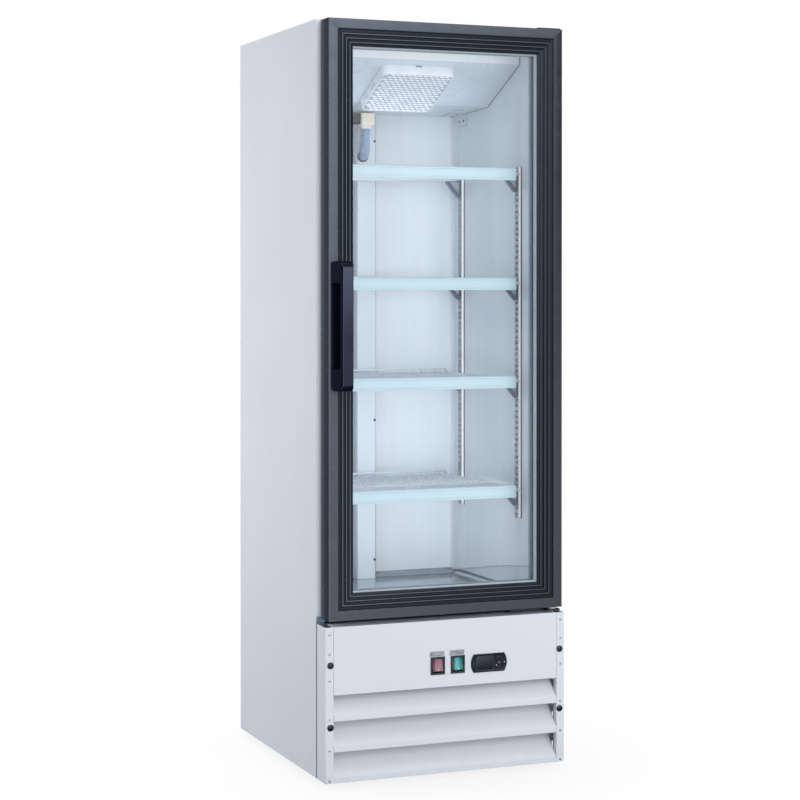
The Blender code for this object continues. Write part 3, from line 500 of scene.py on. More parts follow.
def trim_plastic():
    """Inner trim of the door, paler towards the cabinet, its darker front a painted shade."""
    mat = Material("door_inner_trim", srgb(112, 128, 144), rough=0.35)
    rearward = mat.remap(mat.axis("Y"), span=(depth_y(31), depth_y(39)), smooth=True)
    colour = mat.mix(rearward, srgb(114, 130, 146), srgb(172, 188, 203))
    gain = mat.remap(mat.noise(scale=40.0, detail=3.0), to=(0.96, 1.04))
    mat.set("Base Color", mat.scaled(colour, gain))
    mat.vary_rough(spread=0.05, scale=30.0, detail=3.0)


def handle_plastic():
    """Near-black moulding with a painted highlight down its left front edge, and its ends kept dark
    by a lower specular level as painted shade.
    """
    mat = Material("handle_plastic", (0.006, 0.007, 0.018), rough=0.16)
    mat.set("Specular Tint", (0.66, 0.76, 1.0))
    base = mat.vary(spread=0.2, scale=25.0, detail=4.0)
    normal = mat.node("ShaderNodeNewGeometry").outputs["Normal"]
    normal = mat.node("ShaderNodeSeparateXYZ", {0: normal}).outputs
    # Painted highlight along the left front edge.
    arris = mat.times(mat.remap(normal["X"], span=(-0.78, -0.66)),
                      mat.remap(normal["X"], span=(-0.34, -0.16), to=(1.0, 0.0)))
    forward = mat.remap(mat.axis("Y"), span=(depth_y(-43.5), depth_y(-41.5)), to=(1.0, 0.0))
    mat.set("Base Color", mat.mix(mat.times(arris, forward), base, (0.16, 0.165, 0.20)))
    # Painted shade: lower specular keeps the ends dark.
    ends = mat.remap(mat.math("ABSOLUTE", normal["Z"]), span=(0.15, 0.45), to=(0.5, 0.06))
    mat.set("Specular IOR Level", ends)
    mat.vary_rough(spread=0.06, scale=40.0)
    mat.bump(strength=0.02, distance=0.0002, scale=900.0, detail=3.0, rough=0.6)


def standard_plating():
    """Bright plated channel with painted light: a painted highlight band and glow down the front
    flange, painted shade towards its edges, a darker painted web.
    """
    mat = Material("plated_standard", (0.86, 0.87, 0.89), rough=0.2, metallic=1.0)
    brush = (40, 40, 1)
    from_middle = mat.math("ABSOLUTE", mat.axis("X"))
    # Painted light across the front flange: a bright middle band darkening to its edges.
    across = mat.remap(from_middle, span=(0.2260, 0.2322))
    inner = mat.remap(across, span=(0.00, 0.12), smooth=True)
    outer = mat.remap(across, span=(0.80, 1.00), to=(1.0, 0.0), smooth=True)
    painted_highlight_band = mat.times(inner, outer)
    brushed = mat.noise(scale=30.0, detail=4.0, rough=0.6, stretch=brush)
    brushed = mat.remap(brushed, to=(0.86, 1.0))
    front = mat.mix(painted_highlight_band, (0.13, 0.15, 0.18), (0.98, 0.99, 1.0))
    on_web = mat.remap(mat.math("ABSOLUTE", mat.facing("X")), span=(0.5, 0.9))
    patches = mat.noise(scale=14.0, detail=4.0, rough=0.6, stretch=(1, 1, 6))
    patches = mat.remap(patches, span=(0.35, 0.65))
    # Painted shade: the web darker than the flange.
    web = mat.mix(patches, (0.34, 0.38, 0.42), (0.50, 0.54, 0.58))
    colour = mat.mix(on_web, front, web)
    mat.set("Base Color", mat.mix(1.0, colour, brushed, blend="MULTIPLY"))
    mat.set("Metallic", mat.remap(on_web, span=(0.0, 1.0), to=(0.05, 0.6)))
    # Painted sheen: the front band glows.
    painted_sheen = mat.times(mat.times(painted_highlight_band, mat.math("SUBTRACT", 1.0, on_web)),
                      mat.remap(mat.facing("Y"), span=(-0.9, -0.6), to=(0.26, 0.0)))
    mat.glow((0.97, 0.985, 1.0), painted_sheen)
    mat.vary_rough(spread=0.08, scale=30.0, detail=5.0, stretch=brush)
    mat.bump(strength=0.06, distance=0.0001, scale=260.0, detail=4.0, rough=0.6, stretch=brush)


def price_rail_plastic():
    mat = Material("price_rail_plastic", srgb(191, 214, 222), rough=0.22)
    mat.vary(spread=0.02, scale=3.0, stretch=(1, 1, 1))
    mat.vary_rough(spread=0.06, scale=12.0, stretch=(1, 1, 1))
    mat.bump(strength=0.06, distance=0.0006, scale=40.0, stretch=(0.3, 1, 1))
    mat.coat(weight=0.3, rough=0.1)


def label_foil():
    """Blank metallised sticker with mottling."""
    mat = Material("blank_label", srgb(150, 154, 163), rough=0.35, metallic=0.2)
    mat.vary(spread=0.42, scale=150.0, detail=4.0, stretch=(1, 1, 1.6))
    mat.vary_rough(spread=0.1, scale=90.0, detail=3.0)


def window_plastic():
    """Smoked display window, paler towards its top and its left as a painted highlight."""
    mat = Material("display_window", (0.012, 0.016, 0.024), rough=0.12, specular=0.12)
    rise = mat.remap(mat.axis("Z"), span=(height_z(212), height_z(240)))
    colour = mat.mix(rise, (0.003, 0.005, 0.009), (0.052, 0.064, 0.086))
    across = mat.remap(mat.axis("X"), span=(66 * MM, 104 * MM), to=(1.25, 0.75))
    mat.set("Base Color", mat.scaled(colour, across))
    mat.vary_rough(spread=0.05, scale=30.0, detail=3.0)


# Colour, roughness, orange-peel strength.
PAINTS = {
    "white_paint": (WHITE, 0.34, 0.10),
    "coated_sheet": (srgb(222, 230, 237), 0.26, 0.04),
    # A darker copy of the liner colour as painted shade; nothing uses it.
    "liner_painted_shade": (srgb(176, 192, 205), 0.3, 0.04),
    "cover_bracket": (srgb(214, 224, 234), 0.3, 0.04),
    # Sealant grey, also the painted shadow beside the duct and round the cover brackets; the back
    # seams are real joints.
    "sealant_and_painted_shade": (srgb(150, 165, 180), 0.5, 0.04),
    # Painted shade along the duct cover's edge.
    "duct_hem": (srgb(168, 182, 194), 0.3, 0.04),
    # Painted highlight white: the bright corner line, and the probe cable kept bright in the wall's
    # shade.
    "painted_highlight_white": (srgb(236, 241, 247), 0.2, 0.02),
    "grey_bracket": (srgb(190, 200, 212), 0.4, 0.10),
    "compressor_black": (srgb(22, 23, 26), 0.35, 0.2),
}
# Colour, roughness, noise stretch, relief strength, colour spread, metallic.
METALS = {
    "bright_zinc": ((0.86, 0.87, 0.89), 0.16, (40, 40, 1), 0.06, 0.05, 1.0),
    # Clip straps and webs are shaded and lit copies of one steel: painted shade on the straps,
    # painted light on the webs.
    "shaded_clip_metal": ((0.17, 0.20, 0.24), 0.34, (3, 3, 3), 0.1, 0.15, 0.5),
    "lit_clip_metal": ((0.52, 0.585, 0.65), 0.35, (3, 3, 3), 0.1, 0.12, 0.5),
    "aluminium_fins": ((0.72, 0.74, 0.76), 0.35, (60, 1, 1), 0.2, 0.12, 1.0),
    "coving_metal": ((0.55, 0.58, 0.61), 0.22, (2, 40, 40), 0.12, 0.2, 1.0),
    "copper": ((0.72, 0.38, 0.24), 0.3, (1, 1, 20), 0.15, 0.25, 1.0),
    "dark_screw": ((0.05, 0.055, 0.07), 0.3, (3, 3, 3), 0.1, 0.2, 1.0),
    "bright_screw": ((0.80, 0.82, 0.85), 0.22, (3, 3, 3), 0.1, 0.1, 1.0),
    "rivet": ((0.42, 0.45, 0.50), 0.35, (3, 3, 3), 0.1, 0.15, 1.0),
}
for name, values in PAINTS.items():
    paint(name, *values)
for name, values in METALS.items():
    metal(name, *values)

# The black plastic and the hinge steel get lighter convex edges: rubbing and painted edge
# highlights.
plastic("black_plastic", (0.010, 0.012, 0.018), rough=0.22, grain=0.08, spread=0.2, specular=0.6,
        edge_rub_and_highlight=(0.06, 0.065, 0.08))
plastic("coated_wire", srgb(199, 207, 216), rough=0.3, grain=0.06, spread=0.03)
plastic("gasket_pvc", srgb(46, 50, 58), rough=0.55, grain=0.2, spread=0.12)
plastic("spacer_aluminium", srgb(212, 221, 230), rough=0.4, grain=0.0, scale=200.0, spread=0.03)
plastic("drain_plastic", srgb(233, 226, 208), rough=0.38, grain=0.12, spread=0.05)
plastic("controller_plastic", (0.007, 0.009, 0.014), rough=0.24, grain=0.05, spread=0.15,
        specular=0.32, tint=(0.75, 0.85, 1.0))
plastic("key_rubber", srgb(26, 29, 38), rough=0.45, grain=0.2)
plastic("hinge_coated_steel", srgb(30, 34, 42), rough=0.38, grain=0.1, specular=0.6,
        edge_rub_and_highlight=(0.2, 0.2, 0.22))
plastic("nylon_bush", srgb(232, 233, 228), rough=0.4, grain=0.1, spread=0.04)
# Grey of the lamp latch, also the painted shadow along the evaporator cover's edges.
plastic("grey_seal_and_painted_shadow", srgb(120, 134, 148), rough=0.6, grain=0.1)
# Near black, the painted shadow in the gap under the door.
plastic("black_painted_shadow", (0.004, 0.005, 0.009), rough=0.8, grain=0.3, specular=0.1)
plastic("heater_block", (0.001, 0.0012, 0.0022), rough=0.7, grain=0.2, specular=0.03)
# Painted shadow grey for the strip beside each standard.
plastic("standard_bead", srgb(92, 99, 110), rough=0.5, grain=0.1, specular=0.3)
# Dark rubber, also the painted shade behind the standards' slots.
plastic("black_rubber_and_painted_shade", srgb(24, 27, 38), rough=0.5, grain=0.2)
plastic("fan_plastic", srgb(34, 36, 40), rough=0.45, grain=0.2)
plastic("foam", srgb(220, 200, 140), rough=0.9, grain=0.6, scale=200.0)
opal("lamp_opal", srgb(232, 236, 243), glow=0.075)
opal("lamp_lens_base", srgb(158, 170, 188), glow=0.05)
# Lens colours: left is the painted shadow of the bezel, middle the painted lit part, right a dimmer
# painted falloff.
lens("red_lens", SWITCH_X["red"], left=srgb(84, 16, 34), middle=srgb(160, 108, 122),
     right=srgb(148, 112, 124))
lens("green_lens", SWITCH_X["green"], left=srgb(4, 60, 66), middle=srgb(84, 178, 180),
     right=srgb(8, 112, 102))
# The red LED glows; the white dots get a faint painted glow.
glowing_mark("red_indicator", (0.42, 0.035, 0.06), glow=0.03)
glowing_mark("white_dot_painted_glow", (0.75, 0.78, 0.82), glow=0.1)
for build in (liner_coating, evaporator_coating, duct_coating, casing_paint, cover_paint,
              door_plastic, standard_plating, galvanised, trim_plastic, handle_plastic,
              hose_plastic, clear_glass, price_rail_plastic, label_foil, window_plastic):
    build()

# ---------------------------------------------------------------- CAD pieces
# CAD slots whose material has another name.
SLOT_MATERIALS = {
    "door_profile": "door_profile_plastic", "price_rail": "price_rail_plastic",
    "gasket": "gasket_pvc", "condenser_fins": "aluminium_fins", "lamp_diffuser": "lamp_opal",
    "hinge_steel": "hinge_coated_steel", "spacer": "spacer_aluminium", "foot_black": "black_rubber_and_painted_shade",
}
# Pieces that leave their slot's material.
NODE_MATERIALS = {
    "evaporator_cover": "evaporator_cover_coating", "rear_duct_cover": "duct_cover_coating",
    "cabinet_shell": "casing_paint",
    **{"shelf_clips_" + corner: "shaded_clip_metal" for corner in CORNERS},
}
# Edge rounding in mm.
CAD_BEVELS = {
    "cabinet_shell": 0.8, "louvre_top": 0.5, "louvre_middle": 0.5, "louvre_bottom": 0.5,
    "rear_duct_cover": 0.6, "switch_bezel_red": 0.7, "switch_bezel_green": 0.7,
    "rocker_red": 0.8, "rocker_green": 0.8, "hinge_bracket_bottom": 0.5,
    "hinge_bracket_top": 0.5, "compressor": 1.5, "controller_key_up": 0.3,
    "controller_key_set": 0.3, "controller_key_down": 0.3,
    **{"foot_" + corner: 0.8 for corner in CORNERS},
}


def round_edges(obj, width, segments=2, angle=32.0):
    """Bevels, by width in mm, the edges sharper than an angle in degrees."""
    bevel = obj.modifiers.new("edges", "BEVEL")
    bevel.width = width * MM
    bevel.segments = segments
    bevel.limit_method = "ANGLE"
    bevel.angle_limit = math.radians(angle)
    bevel.use_clamp_overlap = True
    bevel.harden_normals = True
    bevel.miter_outer = "MITER_ARC"


def dress_cad(node, obj, slot):
    name = NODE_MATERIALS.get(node) or SLOT_MATERIALS.get(slot, slot)
    obj.data.materials.clear()
    obj.data.materials.append(MATERIALS[name])
    obj.data.shade_smooth()
    if node not in CAD_BEVELS:
        angle = 12 if node == "evaporator_cover" else 35
        obj.data.set_sharp_from_angle(angle=math.radians(angle))
        return
    weld = obj.modifiers.new("weld", "WELD")
    weld.merge_threshold = 0.00002
    flat = obj.modifiers.new("flat_faces", "DECIMATE")
    flat.decimate_type = "DISSOLVE"
    flat.angle_limit = math.radians(0.5)
    round_edges(obj, CAD_BEVELS[node])
    weighted = obj.modifiers.new("weighted", "WEIGHTED_NORMAL")
    weighted.keep_sharp = True
    weighted.weight = 100


slots = {part["node"]: part["material_slot"] for part in frame["record"]["subparts"]}
for node, obj in nodes.items():
    dress_cad(node, obj, slots[node])


# ---------------------------------------------------------------- mesh helpers
# Shape functions add to the mesh they are given, or to a new one, and return it.
def add_piece(name, mesh, material, slot, body="cabinet", sharp=35.0, bevel=None, segments=2,
              angle=32.0, replaces=None):
    """Turns a mesh into an object; it gets a bevel or edges sharp beyond an angle."""
    bmesh.ops.recalc_face_normals(mesh, faces=mesh.faces)
    data = bpy.data.meshes.new(name)
    mesh.to_mesh(data)
    mesh.free()
    obj = bpy.data.objects.new(name, data)
    bpy.context.scene.collection.objects.link(obj)
    data.materials.append(MATERIALS[material])
    data.shade_smooth()
    if bevel:
        round_edges(obj, bevel, segments, angle)
    elif sharp:
        data.set_sharp_from_angle(angle=math.radians(sharp))
    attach(obj, body)
    if replaces:
        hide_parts(replaces)
    return obj


def loft(loops, mesh=None, closed=False):
    """Skin through loops of equal length, capped unless closed; the last may be a single tip."""
    mesh = mesh or bmesh.new()
    rings = [[mesh.verts.new(place) for place in loop] for loop in loops]
    count = len(rings[0])
    pairs = list(zip(rings, rings[1:]))
    if closed:
        pairs.append((rings[-1], rings[0]))
    for ring, following in pairs:
        for i in range(count):
            j = (i + 1) % count
            if len(following) == 1:
                mesh.faces.new((ring[i], ring[j], following[0]))
            else:
                mesh.faces.new((ring[i], ring[j], following[j], following[i]))
    if not closed:
        mesh.faces.new(list(reversed(rings[0])))
        if len(rings[-1]) > 1:
            mesh.faces.new(rings[-1])
    return mesh


def along_x(outline, x0, x1, mesh=None):
    return loft([[point(x, depth, height) for depth, height in outline] for x in (x0, x1)], mesh)


def along_y(outline, front, back, mesh=None):
    return loft([[point(x, depth, height) for x, height in outline] for depth in (front, back)],
                mesh)


def along_z(outline, bottom, top, mesh=None):
    return loft([[point(x, depth, height) for x, depth in outline] for height in (bottom, top)],
                mesh)


def box(across, depths, heights, mesh=None):
    """A block from its (low, high) pair on each axis."""
    (x0, x1), (front, back) = across, depths
    return along_z([(x0, front), (x1, front), (x1, back), (x0, back)], *heights, mesh)


def mirrored(side, inner, outer):
    """An x span on one side of the middle, in rising order."""
    return sorted((side * inner, side * outer))


def rounded(x0, x1, y0, y1, radius, steps=4):
    """Rounded rectangle as a list of points."""
    points = []
    for cx, cy, start in ((x1 - radius, y1 - radius, 0), (x0 + radius, y1 - radius, 90),
                          (x0 + radius, y0 + radius, 180), (x1 - radius, y0 + radius, 270)):
        for i in range(steps + 1):
            angle = math.radians(start + 90.0 * i / steps)
            points.append((cx + radius * math.cos(angle), cy + radius * math.sin(angle)))
    return points


def circle(centre, across, up, radius, count):
    """Points round a centre, in the plane of two unit vectors; radius in mm."""
    angles = [2 * math.pi * i / count for i in range(count)]
    return [centre + (across * math.cos(a) + up * math.sin(a)) * radius * MM for a in angles]


def turned(centre, axis, profile, count, mesh=None):
    """Body of revolution from (radius, offset along axis); a zero radius ends in a tip."""
    axis = Vector(axis).normalized()
    across = axis.orthogonal().normalized()
    up = axis.cross(across)
    loops = []
    for radius, offset in profile:
        middle = centre + axis * offset * MM
        loops.append(circle(middle, across, up, radius, count) if radius > 0 else [middle])
    return loft(loops, mesh)


def tube(points, radius, count, mesh=None):
    """Round bar along points; radius is one value or one for each point."""
    loops = []
    across = None
    for i, place in enumerate(points):
        if i == 0:
            along = (points[1] - place).normalized()
        elif i == len(points) - 1:
            along = (place - points[-2]).normalized()
        else:
            along = ((place - points[i - 1]).normalized()
                     + (points[i + 1] - place).normalized()).normalized()
        if across is None:
            across = along.orthogonal().normalized()
        else:
            across = (across - along * across.dot(along)).normalized()
        size = radius[i] if isinstance(radius, list) else radius
        loops.append(circle(place, across, along.cross(across), size, count))
    return loft(loops, mesh)


def bent(points, radius, steps):
    """Rounds the corners of a polyline."""
    path = [points[0]]
    for before, corner, after in zip(points, points[1:], points[2:]):
        back, ahead = before - corner, after - corner
        cut = min(radius * MM / max(math.tan(back.angle(ahead) / 2), 1e-4),
                  back.length * 0.49, ahead.length * 0.49)
        start = corner + back.normalized() * cut
        stop = corner + ahead.normalized() * cut
        for i in range(steps + 1):
            t = i / steps
            path.append(start * (1 - t) ** 2 + corner * 2 * t * (1 - t) + stop * t * t)
    path.append(points[-1])
    return path


def boolean(obj, tool_mesh, operation="DIFFERENCE", sharp=None):
    """Cuts an object's mesh for good with a tool."""
    bmesh.ops.recalc_face_normals(tool_mesh, faces=tool_mesh.faces)
    tool_data = bpy.data.meshes.new("tool")
    tool_mesh.to_mesh(tool_data)
    tool_mesh.free()
    tool = bpy.data.objects.new("tool", tool_data)
    bpy.context.scene.collection.objects.link(tool)
    modifier = obj.modifiers.new("bool", "BOOLEAN")
    modifier.operation = operation
    modifier.solver = "EXACT"
    modifier.object = tool
    depsgraph = bpy.context.evaluated_depsgraph_get()
    depsgraph.update()
    data = bpy.data.meshes.new_from_object(obj.evaluated_get(depsgraph),
                                           preserve_all_data_layers=True, depsgraph=depsgraph)
    obj.modifiers.remove(modifier)
    old = obj.data
    data.name = old.name
    obj.data = data
    bpy.data.meshes.remove(old)
    bpy.data.objects.remove(tool, do_unlink=True)
    bpy.data.meshes.remove(tool_data)
    data.shade_smooth()
    if sharp:
        data.set_sharp_from_angle(angle=math.radians(sharp))


def screw_head(centre, axis, radius, dome, count, mesh):
    """A pan head; centre on the surface, axis out of it."""
    turned(centre, axis, [(radius * 0.86, -0.4), (radius, 0.05), (radius, dome * 0.35),
                          (radius * 0.86, dome * 0.75), (radius * 0.5, dome * 0.97), (0, dome)],
           count, mesh)


def cross_recesses(obj, places, axis, radius, depth, turn, turn_step):
    """Cuts a tapered cross into each head, each turned further than the last."""
    axis = Vector(axis).normalized()
    across = axis.orthogonal().normalized()
    up = axis.cross(across)
    mesh = bmesh.new()
    for i, centre in enumerate(places):
        angle = turn + turn_step * i
        first = across * math.cos(angle) + up * math.sin(angle)
        second = axis.cross(first)

        def plus(arm, half, offset):
            outline = ((arm, -half), (arm, half), (half, half), (half, arm), (-half, arm),
                       (-half, half), (-arm, half), (-arm, -half), (-half, -half),
                       (-half, -arm), (half, -arm), (half, -half))
            return [centre + (first * a + second * b + axis * offset) * MM for a, b in outline]

        loft((plus(radius * 0.42, radius * 0.11, depth),
              plus(radius * 0.66, radius * 0.17, depth + 5.0)), mesh)
    boolean(obj, mesh, sharp=40)


def cross_screws(name, places, axis, radius, dome, material):
    mesh = bmesh.new()
    for centre in places:
        screw_head(centre, axis, radius, dome, 18, mesh)
    obj = add_piece(name, mesh, material, material_slot(material), sharp=40.0)
    cross_recesses(obj, places, axis, radius, dome * 0.35, turn=0.3, turn_step=0.7)


def material_slot(screw):
    """The CAD slot a screw material belongs to."""
    return {"dark_screw": "dark_screw", "bright_screw": "bright_zinc"}[screw]


# ---------------------------------------------------------------- door frame
def arc(across, depth, radius, start, stop, steps):
    """Arc in a door section, from angle to angle in degrees, turning towards the front."""
    angles = [math.radians(start + (stop - start) * i / steps) for i in range(steps + 1)]
    return [(across + radius * math.cos(a), depth - radius * math.sin(a)) for a in angles]


# Sections: (mm in from the door's edge, depth).
DOOR_SECTION = [
    (0.0, 45.1), (0.0, -0.6), *arc(2.9, -0.6, 2.9, 180, 90, 6),
    (20.0, -3.5), *arc(20.0, -2.2, 1.3, 90, 10, 4),
    (22.4, -0.9), (28.6, -0.6), *arc(31.0, -1.5, 1.35, 170, 10, 7),
    (33.4, 0.7), (37.4, 1.0), *arc(39.8, 0.15, 1.3, 170, 10, 7),
    (42.2, 2.2), (46.1, 2.5), *arc(48.5, 1.75, 1.3, 170, 10, 7),
    (50.8, 3.6), (54.6, 4.0), (55.6, 4.3), (56.0, 4.7), (56.0, 5.0), (44.5, 5.0), (44.5, 25.6),
    (53.5, 25.6), (53.5, 37.2), (52.7, 38.0), (48.0, 45.1)]
GASKET_SECTION = [
    (14.5, 56.9), (14.5, 51.5), (15.7, 50.3), (14.7, 49.0), (16.4, 47.8), (17.0, 45.5),
    (26.0, 45.5), (26.6, 47.8), (28.3, 49.0), (27.3, 50.3), (28.5, 51.5), (28.5, 56.9)]
TRIM_SECTION = [(50.2, 25.8), (57.3, 25.8), (57.6, 26.2), (57.6, 43.6), (57.0, 44.4), (50.2, 44.4)]


def door_bars(prefix, section, material, slot, slack, bevel, replaces=None):
    """Four mitred bars of one section; slack opens a hairline at each mitre."""
    def upright(side, inset, depth, end):
        height = DOOR_TOP - inset - slack if end > 0 else DOOR_BOTTOM + inset + slack
        return point(side * (DOOR_HALF - inset), depth, height)

    def rail(side, inset, depth, end):
        height = DOOR_TOP - inset if side > 0 else DOOR_BOTTOM + inset
        return point(end * (DOOR_HALF - inset - slack), depth, height)

    for name, place, side in (("left", upright, -1), ("right", upright, 1),
                              ("top", rail, 1), ("bottom", rail, -1)):
        loops = [[place(side, inset, depth, end) for inset, depth in section] for end in (-1, 1)]
        add_piece(f"{prefix}_{name}", loft(loops), material, slot, "door", bevel=bevel, angle=40,
                  replaces=replaces if name == "left" else None)


door_bars("door_profile", DOOR_SECTION, "door_profile_plastic", "door_profile", slack=0.14,
          bevel=0.18, replaces="door_frame")
door_bars("door_gasket", GASKET_SECTION, "gasket_pvc", "gasket", slack=0.05, bevel=0.4,
          replaces="door_gasket")
door_bars("door_inner_trim", TRIM_SECTION, "door_inner_trim", "gasket", slack=0.1, bevel=0.15)

# ---------------------------------------------------------------- door handle
HANDLE_LEFT, HANDLE_RIGHT = -253.5, -227.8
HANDLE_BOTTOM, HANDLE_TOP = 807.0, 1073.0
HANDLE_FRONT, HANDLE_BASE = -48.0, -3.8
HANDLE_FLARE = 8.8          # spread of the left face from front to base
# Lower end from base to front, mirrored for the upper one: (depth, mm in from the end).
HANDLE_END = [(HANDLE_BASE, 10.5), (-9.5, 3.0), (-13, 1.0), (-18, 0), (-34, 0), (-39.5, 1.6),
              (-44.5, 6.5), (HANDLE_FRONT + 0.6, 11.0), (HANDLE_FRONT, 14.0)]


def door_handle():
    """Flared body with chamfered front edges and a grip recess cut from the left."""
    side_view = [(depth, HANDLE_BOTTOM + inset) for depth, inset in HANDLE_END]
    side_view += [(depth, HANDLE_TOP - inset) for depth, inset in reversed(HANDLE_END)]
    handle = add_piece("door_handle_moulded",
                       along_x(side_view, HANDLE_LEFT - 20, HANDLE_RIGHT + 20),
                       "handle_plastic", "handle_plastic", "door", sharp=None,
                       replaces="door_handle")

    def flared(depth):
        share = (depth - HANDLE_FRONT) / (HANDLE_BASE - HANDLE_FRONT)
        return (HANDLE_LEFT - HANDLE_FLARE * share, depth)

    plan = [flared(HANDLE_BASE + 2), flared(-42.0), (HANDLE_LEFT + 3.2, HANDLE_FRONT - 0.6),
            (HANDLE_RIGHT - 2.6, HANDLE_FRONT - 0.6), (HANDLE_RIGHT - 0.3, HANDLE_FRONT + 2.2),
            (HANDLE_RIGHT + 1.6, HANDLE_BASE + 2)]
    boolean(handle, along_z(plan, HANDLE_BOTTOM - 10, HANDLE_TOP + 10), "INTERSECT")
    grip = rounded(-40.5, -7.5, HANDLE_BOTTOM + 45, HANDLE_TOP - 45, 7.0, 5)
    boolean(handle, along_x(grip, HANDLE_LEFT - 25, HANDLE_RIGHT - 6.0))
    round_edges(handle, 1.1, segments=3, angle=30)

    plugs = bmesh.new()
    for height in (HANDLE_BOTTOM + 22, HANDLE_TOP - 22):
        turned(point(HANDLE_RIGHT + 0.9, -24, height), (1, 0, 0),
               [(4.2, -0.6), (4.2, 0.25), (3.6, 0.5), (0, 0.6)], 18, plugs)
    add_piece("handle_screw_plugs", plugs, "handle_plastic", "handle_plastic", "door")


door_handle()

# Dark strips along the glass unit's bottom and top edges.
mesh = bmesh.new()
for heights in ((378.8, 388.6), (1516.2, 1526.0)):
    box((-221.0, 221.0), (9.35, 9.55), heights, mesh)
add_piece("glass_edge_sealant", mesh, "black_rubber_and_painted_shade", "gasket", "door", sharp=None)

# ---------------------------------------------------------------- shelves
RAIL_TOPS = [cad_span(f"price_rail_{k}")[3] for k in range(1, 5)]
RAIL_HALF, RAIL_FRONT = 201.0, 90.0
# Price rail section: (depth behind its front, height from its top).
RAIL_SECTION = (
    (6.6, -0.5), (5.6, 0.0), (4.0, -0.5), (1.2, -1.6), (0.2, -2.8), (0.0, -3.8), (0.1, -5.0),
    (1.5, -5.4), (1.5, -22.9), (0.1, -23.3), (0.0, -26.3), (0.8, -27.4), (2.0, -27.5),
    (7.1, -27.5), (7.1, -26.1), (2.9, -25.9), (2.9, -3.6), (6.4, -1.9), (6.9, -1.3))
DECK_FRONT, DECK_BACK = 98.0, 464.0
DECK_DROP, DECK_THICK = 5.0, 6.0    # deck's top below the rail's top; its thickness
FRAME_RADIUS, CROSS_RADIUS, DECK_RADIUS = 2.9, 2.4, 1.45
DECK_WIRES, DECK_HALF = 33, 192.0


def price_rail(k, top):
    name, body = f"price_rail_{k}", f"shelf_{k}"
    section = [(RAIL_FRONT + depth, top + rise) for depth, rise in RAIL_SECTION]
    add_piece(name + "_strip", along_x(section, -RAIL_HALF, RAIL_HALF), "price_rail_plastic",
              "price_rail", body, bevel=0.25, replaces=name)
    insert = box((0.8 - RAIL_HALF, RAIL_HALF - 0.8), (RAIL_FRONT + 0.9, RAIL_FRONT + 1.4),
                 (top - 22.6, top - 5.7))
    add_piece(name + "_insert", insert, "price_rail_plastic", "price_rail", body, bevel=0.15)
    caps = bmesh.new()
    for side, _ in SIDES:
        inner, outer = side * (RAIL_HALF + 0.1), side * (RAIL_HALF + 1.3)
        outline = [(inner, top - 26.7), (outer, top - 25.9), (outer, top - 3.0), (inner, top - 1.2)]
        along_y(outline, RAIL_FRONT + 0.3, RAIL_FRONT + 6.6, caps)
    add_piece(name + "_end_caps", caps, "coated_wire", "price_rail", body, bevel=0.3)


def frame_loop(height, mesh):
    """The closed frame wire all round a deck."""
    front, back, half = DECK_FRONT + FRAME_RADIUS, DECK_BACK - FRAME_RADIUS, 198.1
    path = bent([point(0, front, height), point(half, front, height), point(half, back, height),
                 point(-half, back, height), point(-half, front, height),
                 point(0, front, height)], 9.0, 5)[:-1]
    up = Vector((0, 0, 1))
    loops = []
    for i, place in enumerate(path):
        along = ((place - path[i - 1]).normalized()
                 + (path[(i + 1) % len(path)] - place).normalized()).normalized()
        loops.append(circle(place, along.cross(up).normalized(), up, FRAME_RADIUS, 10))
    loft(loops, mesh, closed=True)


def wire_deck(k, rail_top):
    name, body = f"shelf_{k}", f"shelf_{k}"
    top = rail_top - DECK_DROP
    bottom = top - DECK_THICK
    wire = "coated_wire"
    frame_height = bottom + FRAME_RADIUS

    mesh = bmesh.new()
    frame_loop(frame_height, mesh)
    for depth in (164.0, 226.0, 288.0, 350.0, 412.0):
        height = bottom - 1.2
        tube([point(-197.5, depth, height), point(197.5, depth, height)], CROSS_RADIUS, 10, mesh)
    height = bottom - 1.6
    tube([point(-186.5, 460.4, height), point(186.5, 460.4, height)], CROSS_RADIUS, 10, mesh)
    add_piece(name + "_frame_wires", mesh, wire, wire, body)

    mesh = bmesh.new()
    height = top - 1.5
    # Run of a deck wire, turned up at the back: (depth, height).
    run = ((DECK_FRONT + 1.6, height), (DECK_BACK - 9.0, height), (DECK_BACK - 4.4, height + 1.8),
           (DECK_BACK - 2.6, height + 5.0), (DECK_BACK - 2.4, top + 6.4))
    for i in range(DECK_WIRES):
        x = -DECK_HALF + 2 * DECK_HALF * i / (DECK_WIRES - 1)
        tube([point(x, *place) for place in run], DECK_RADIUS, 8, mesh)
    add_piece(name + "_deck_wires", mesh, wire, wire, body, replaces=name + "_wire_deck")

    # Rear upstand wire, and a loop standing out at each front corner.
    rise = [(DECK_BACK - 8.0, frame_height), (DECK_BACK - 3.4, frame_height + 1),
            (DECK_BACK - 3.0, top + 5.6)]
    path = [point(-196, *place) for place in rise]
    path += [point(196, *place) for place in reversed(rise)]
    mesh = tube(bent(path, 5.0, 4), CROSS_RADIUS, 10)
    ear = ((190, 105.0, 0.9), (217.0, 105.0, -1.6), (217.0, 122.0, -1.6), (196, 128.0, 0.9))
    for side, _ in SIDES:
        path = [point(side * x, depth, bottom + rise) for x, depth, rise in ear]
        tube(bent(path, 6.0, 4), 2.6, 10, mesh)
    add_piece(name + "_upstand_and_ears", mesh, wire, wire, body)


for k, top in enumerate(RAIL_TOPS, start=1):
    price_rail(k, top)
    wire_deck(k, top)

# ---------------------------------------------------------------- shelf clips
CLIP_TOPS = [top - DECK_DROP - DECK_THICK - 0.3 for top in RAIL_TOPS]
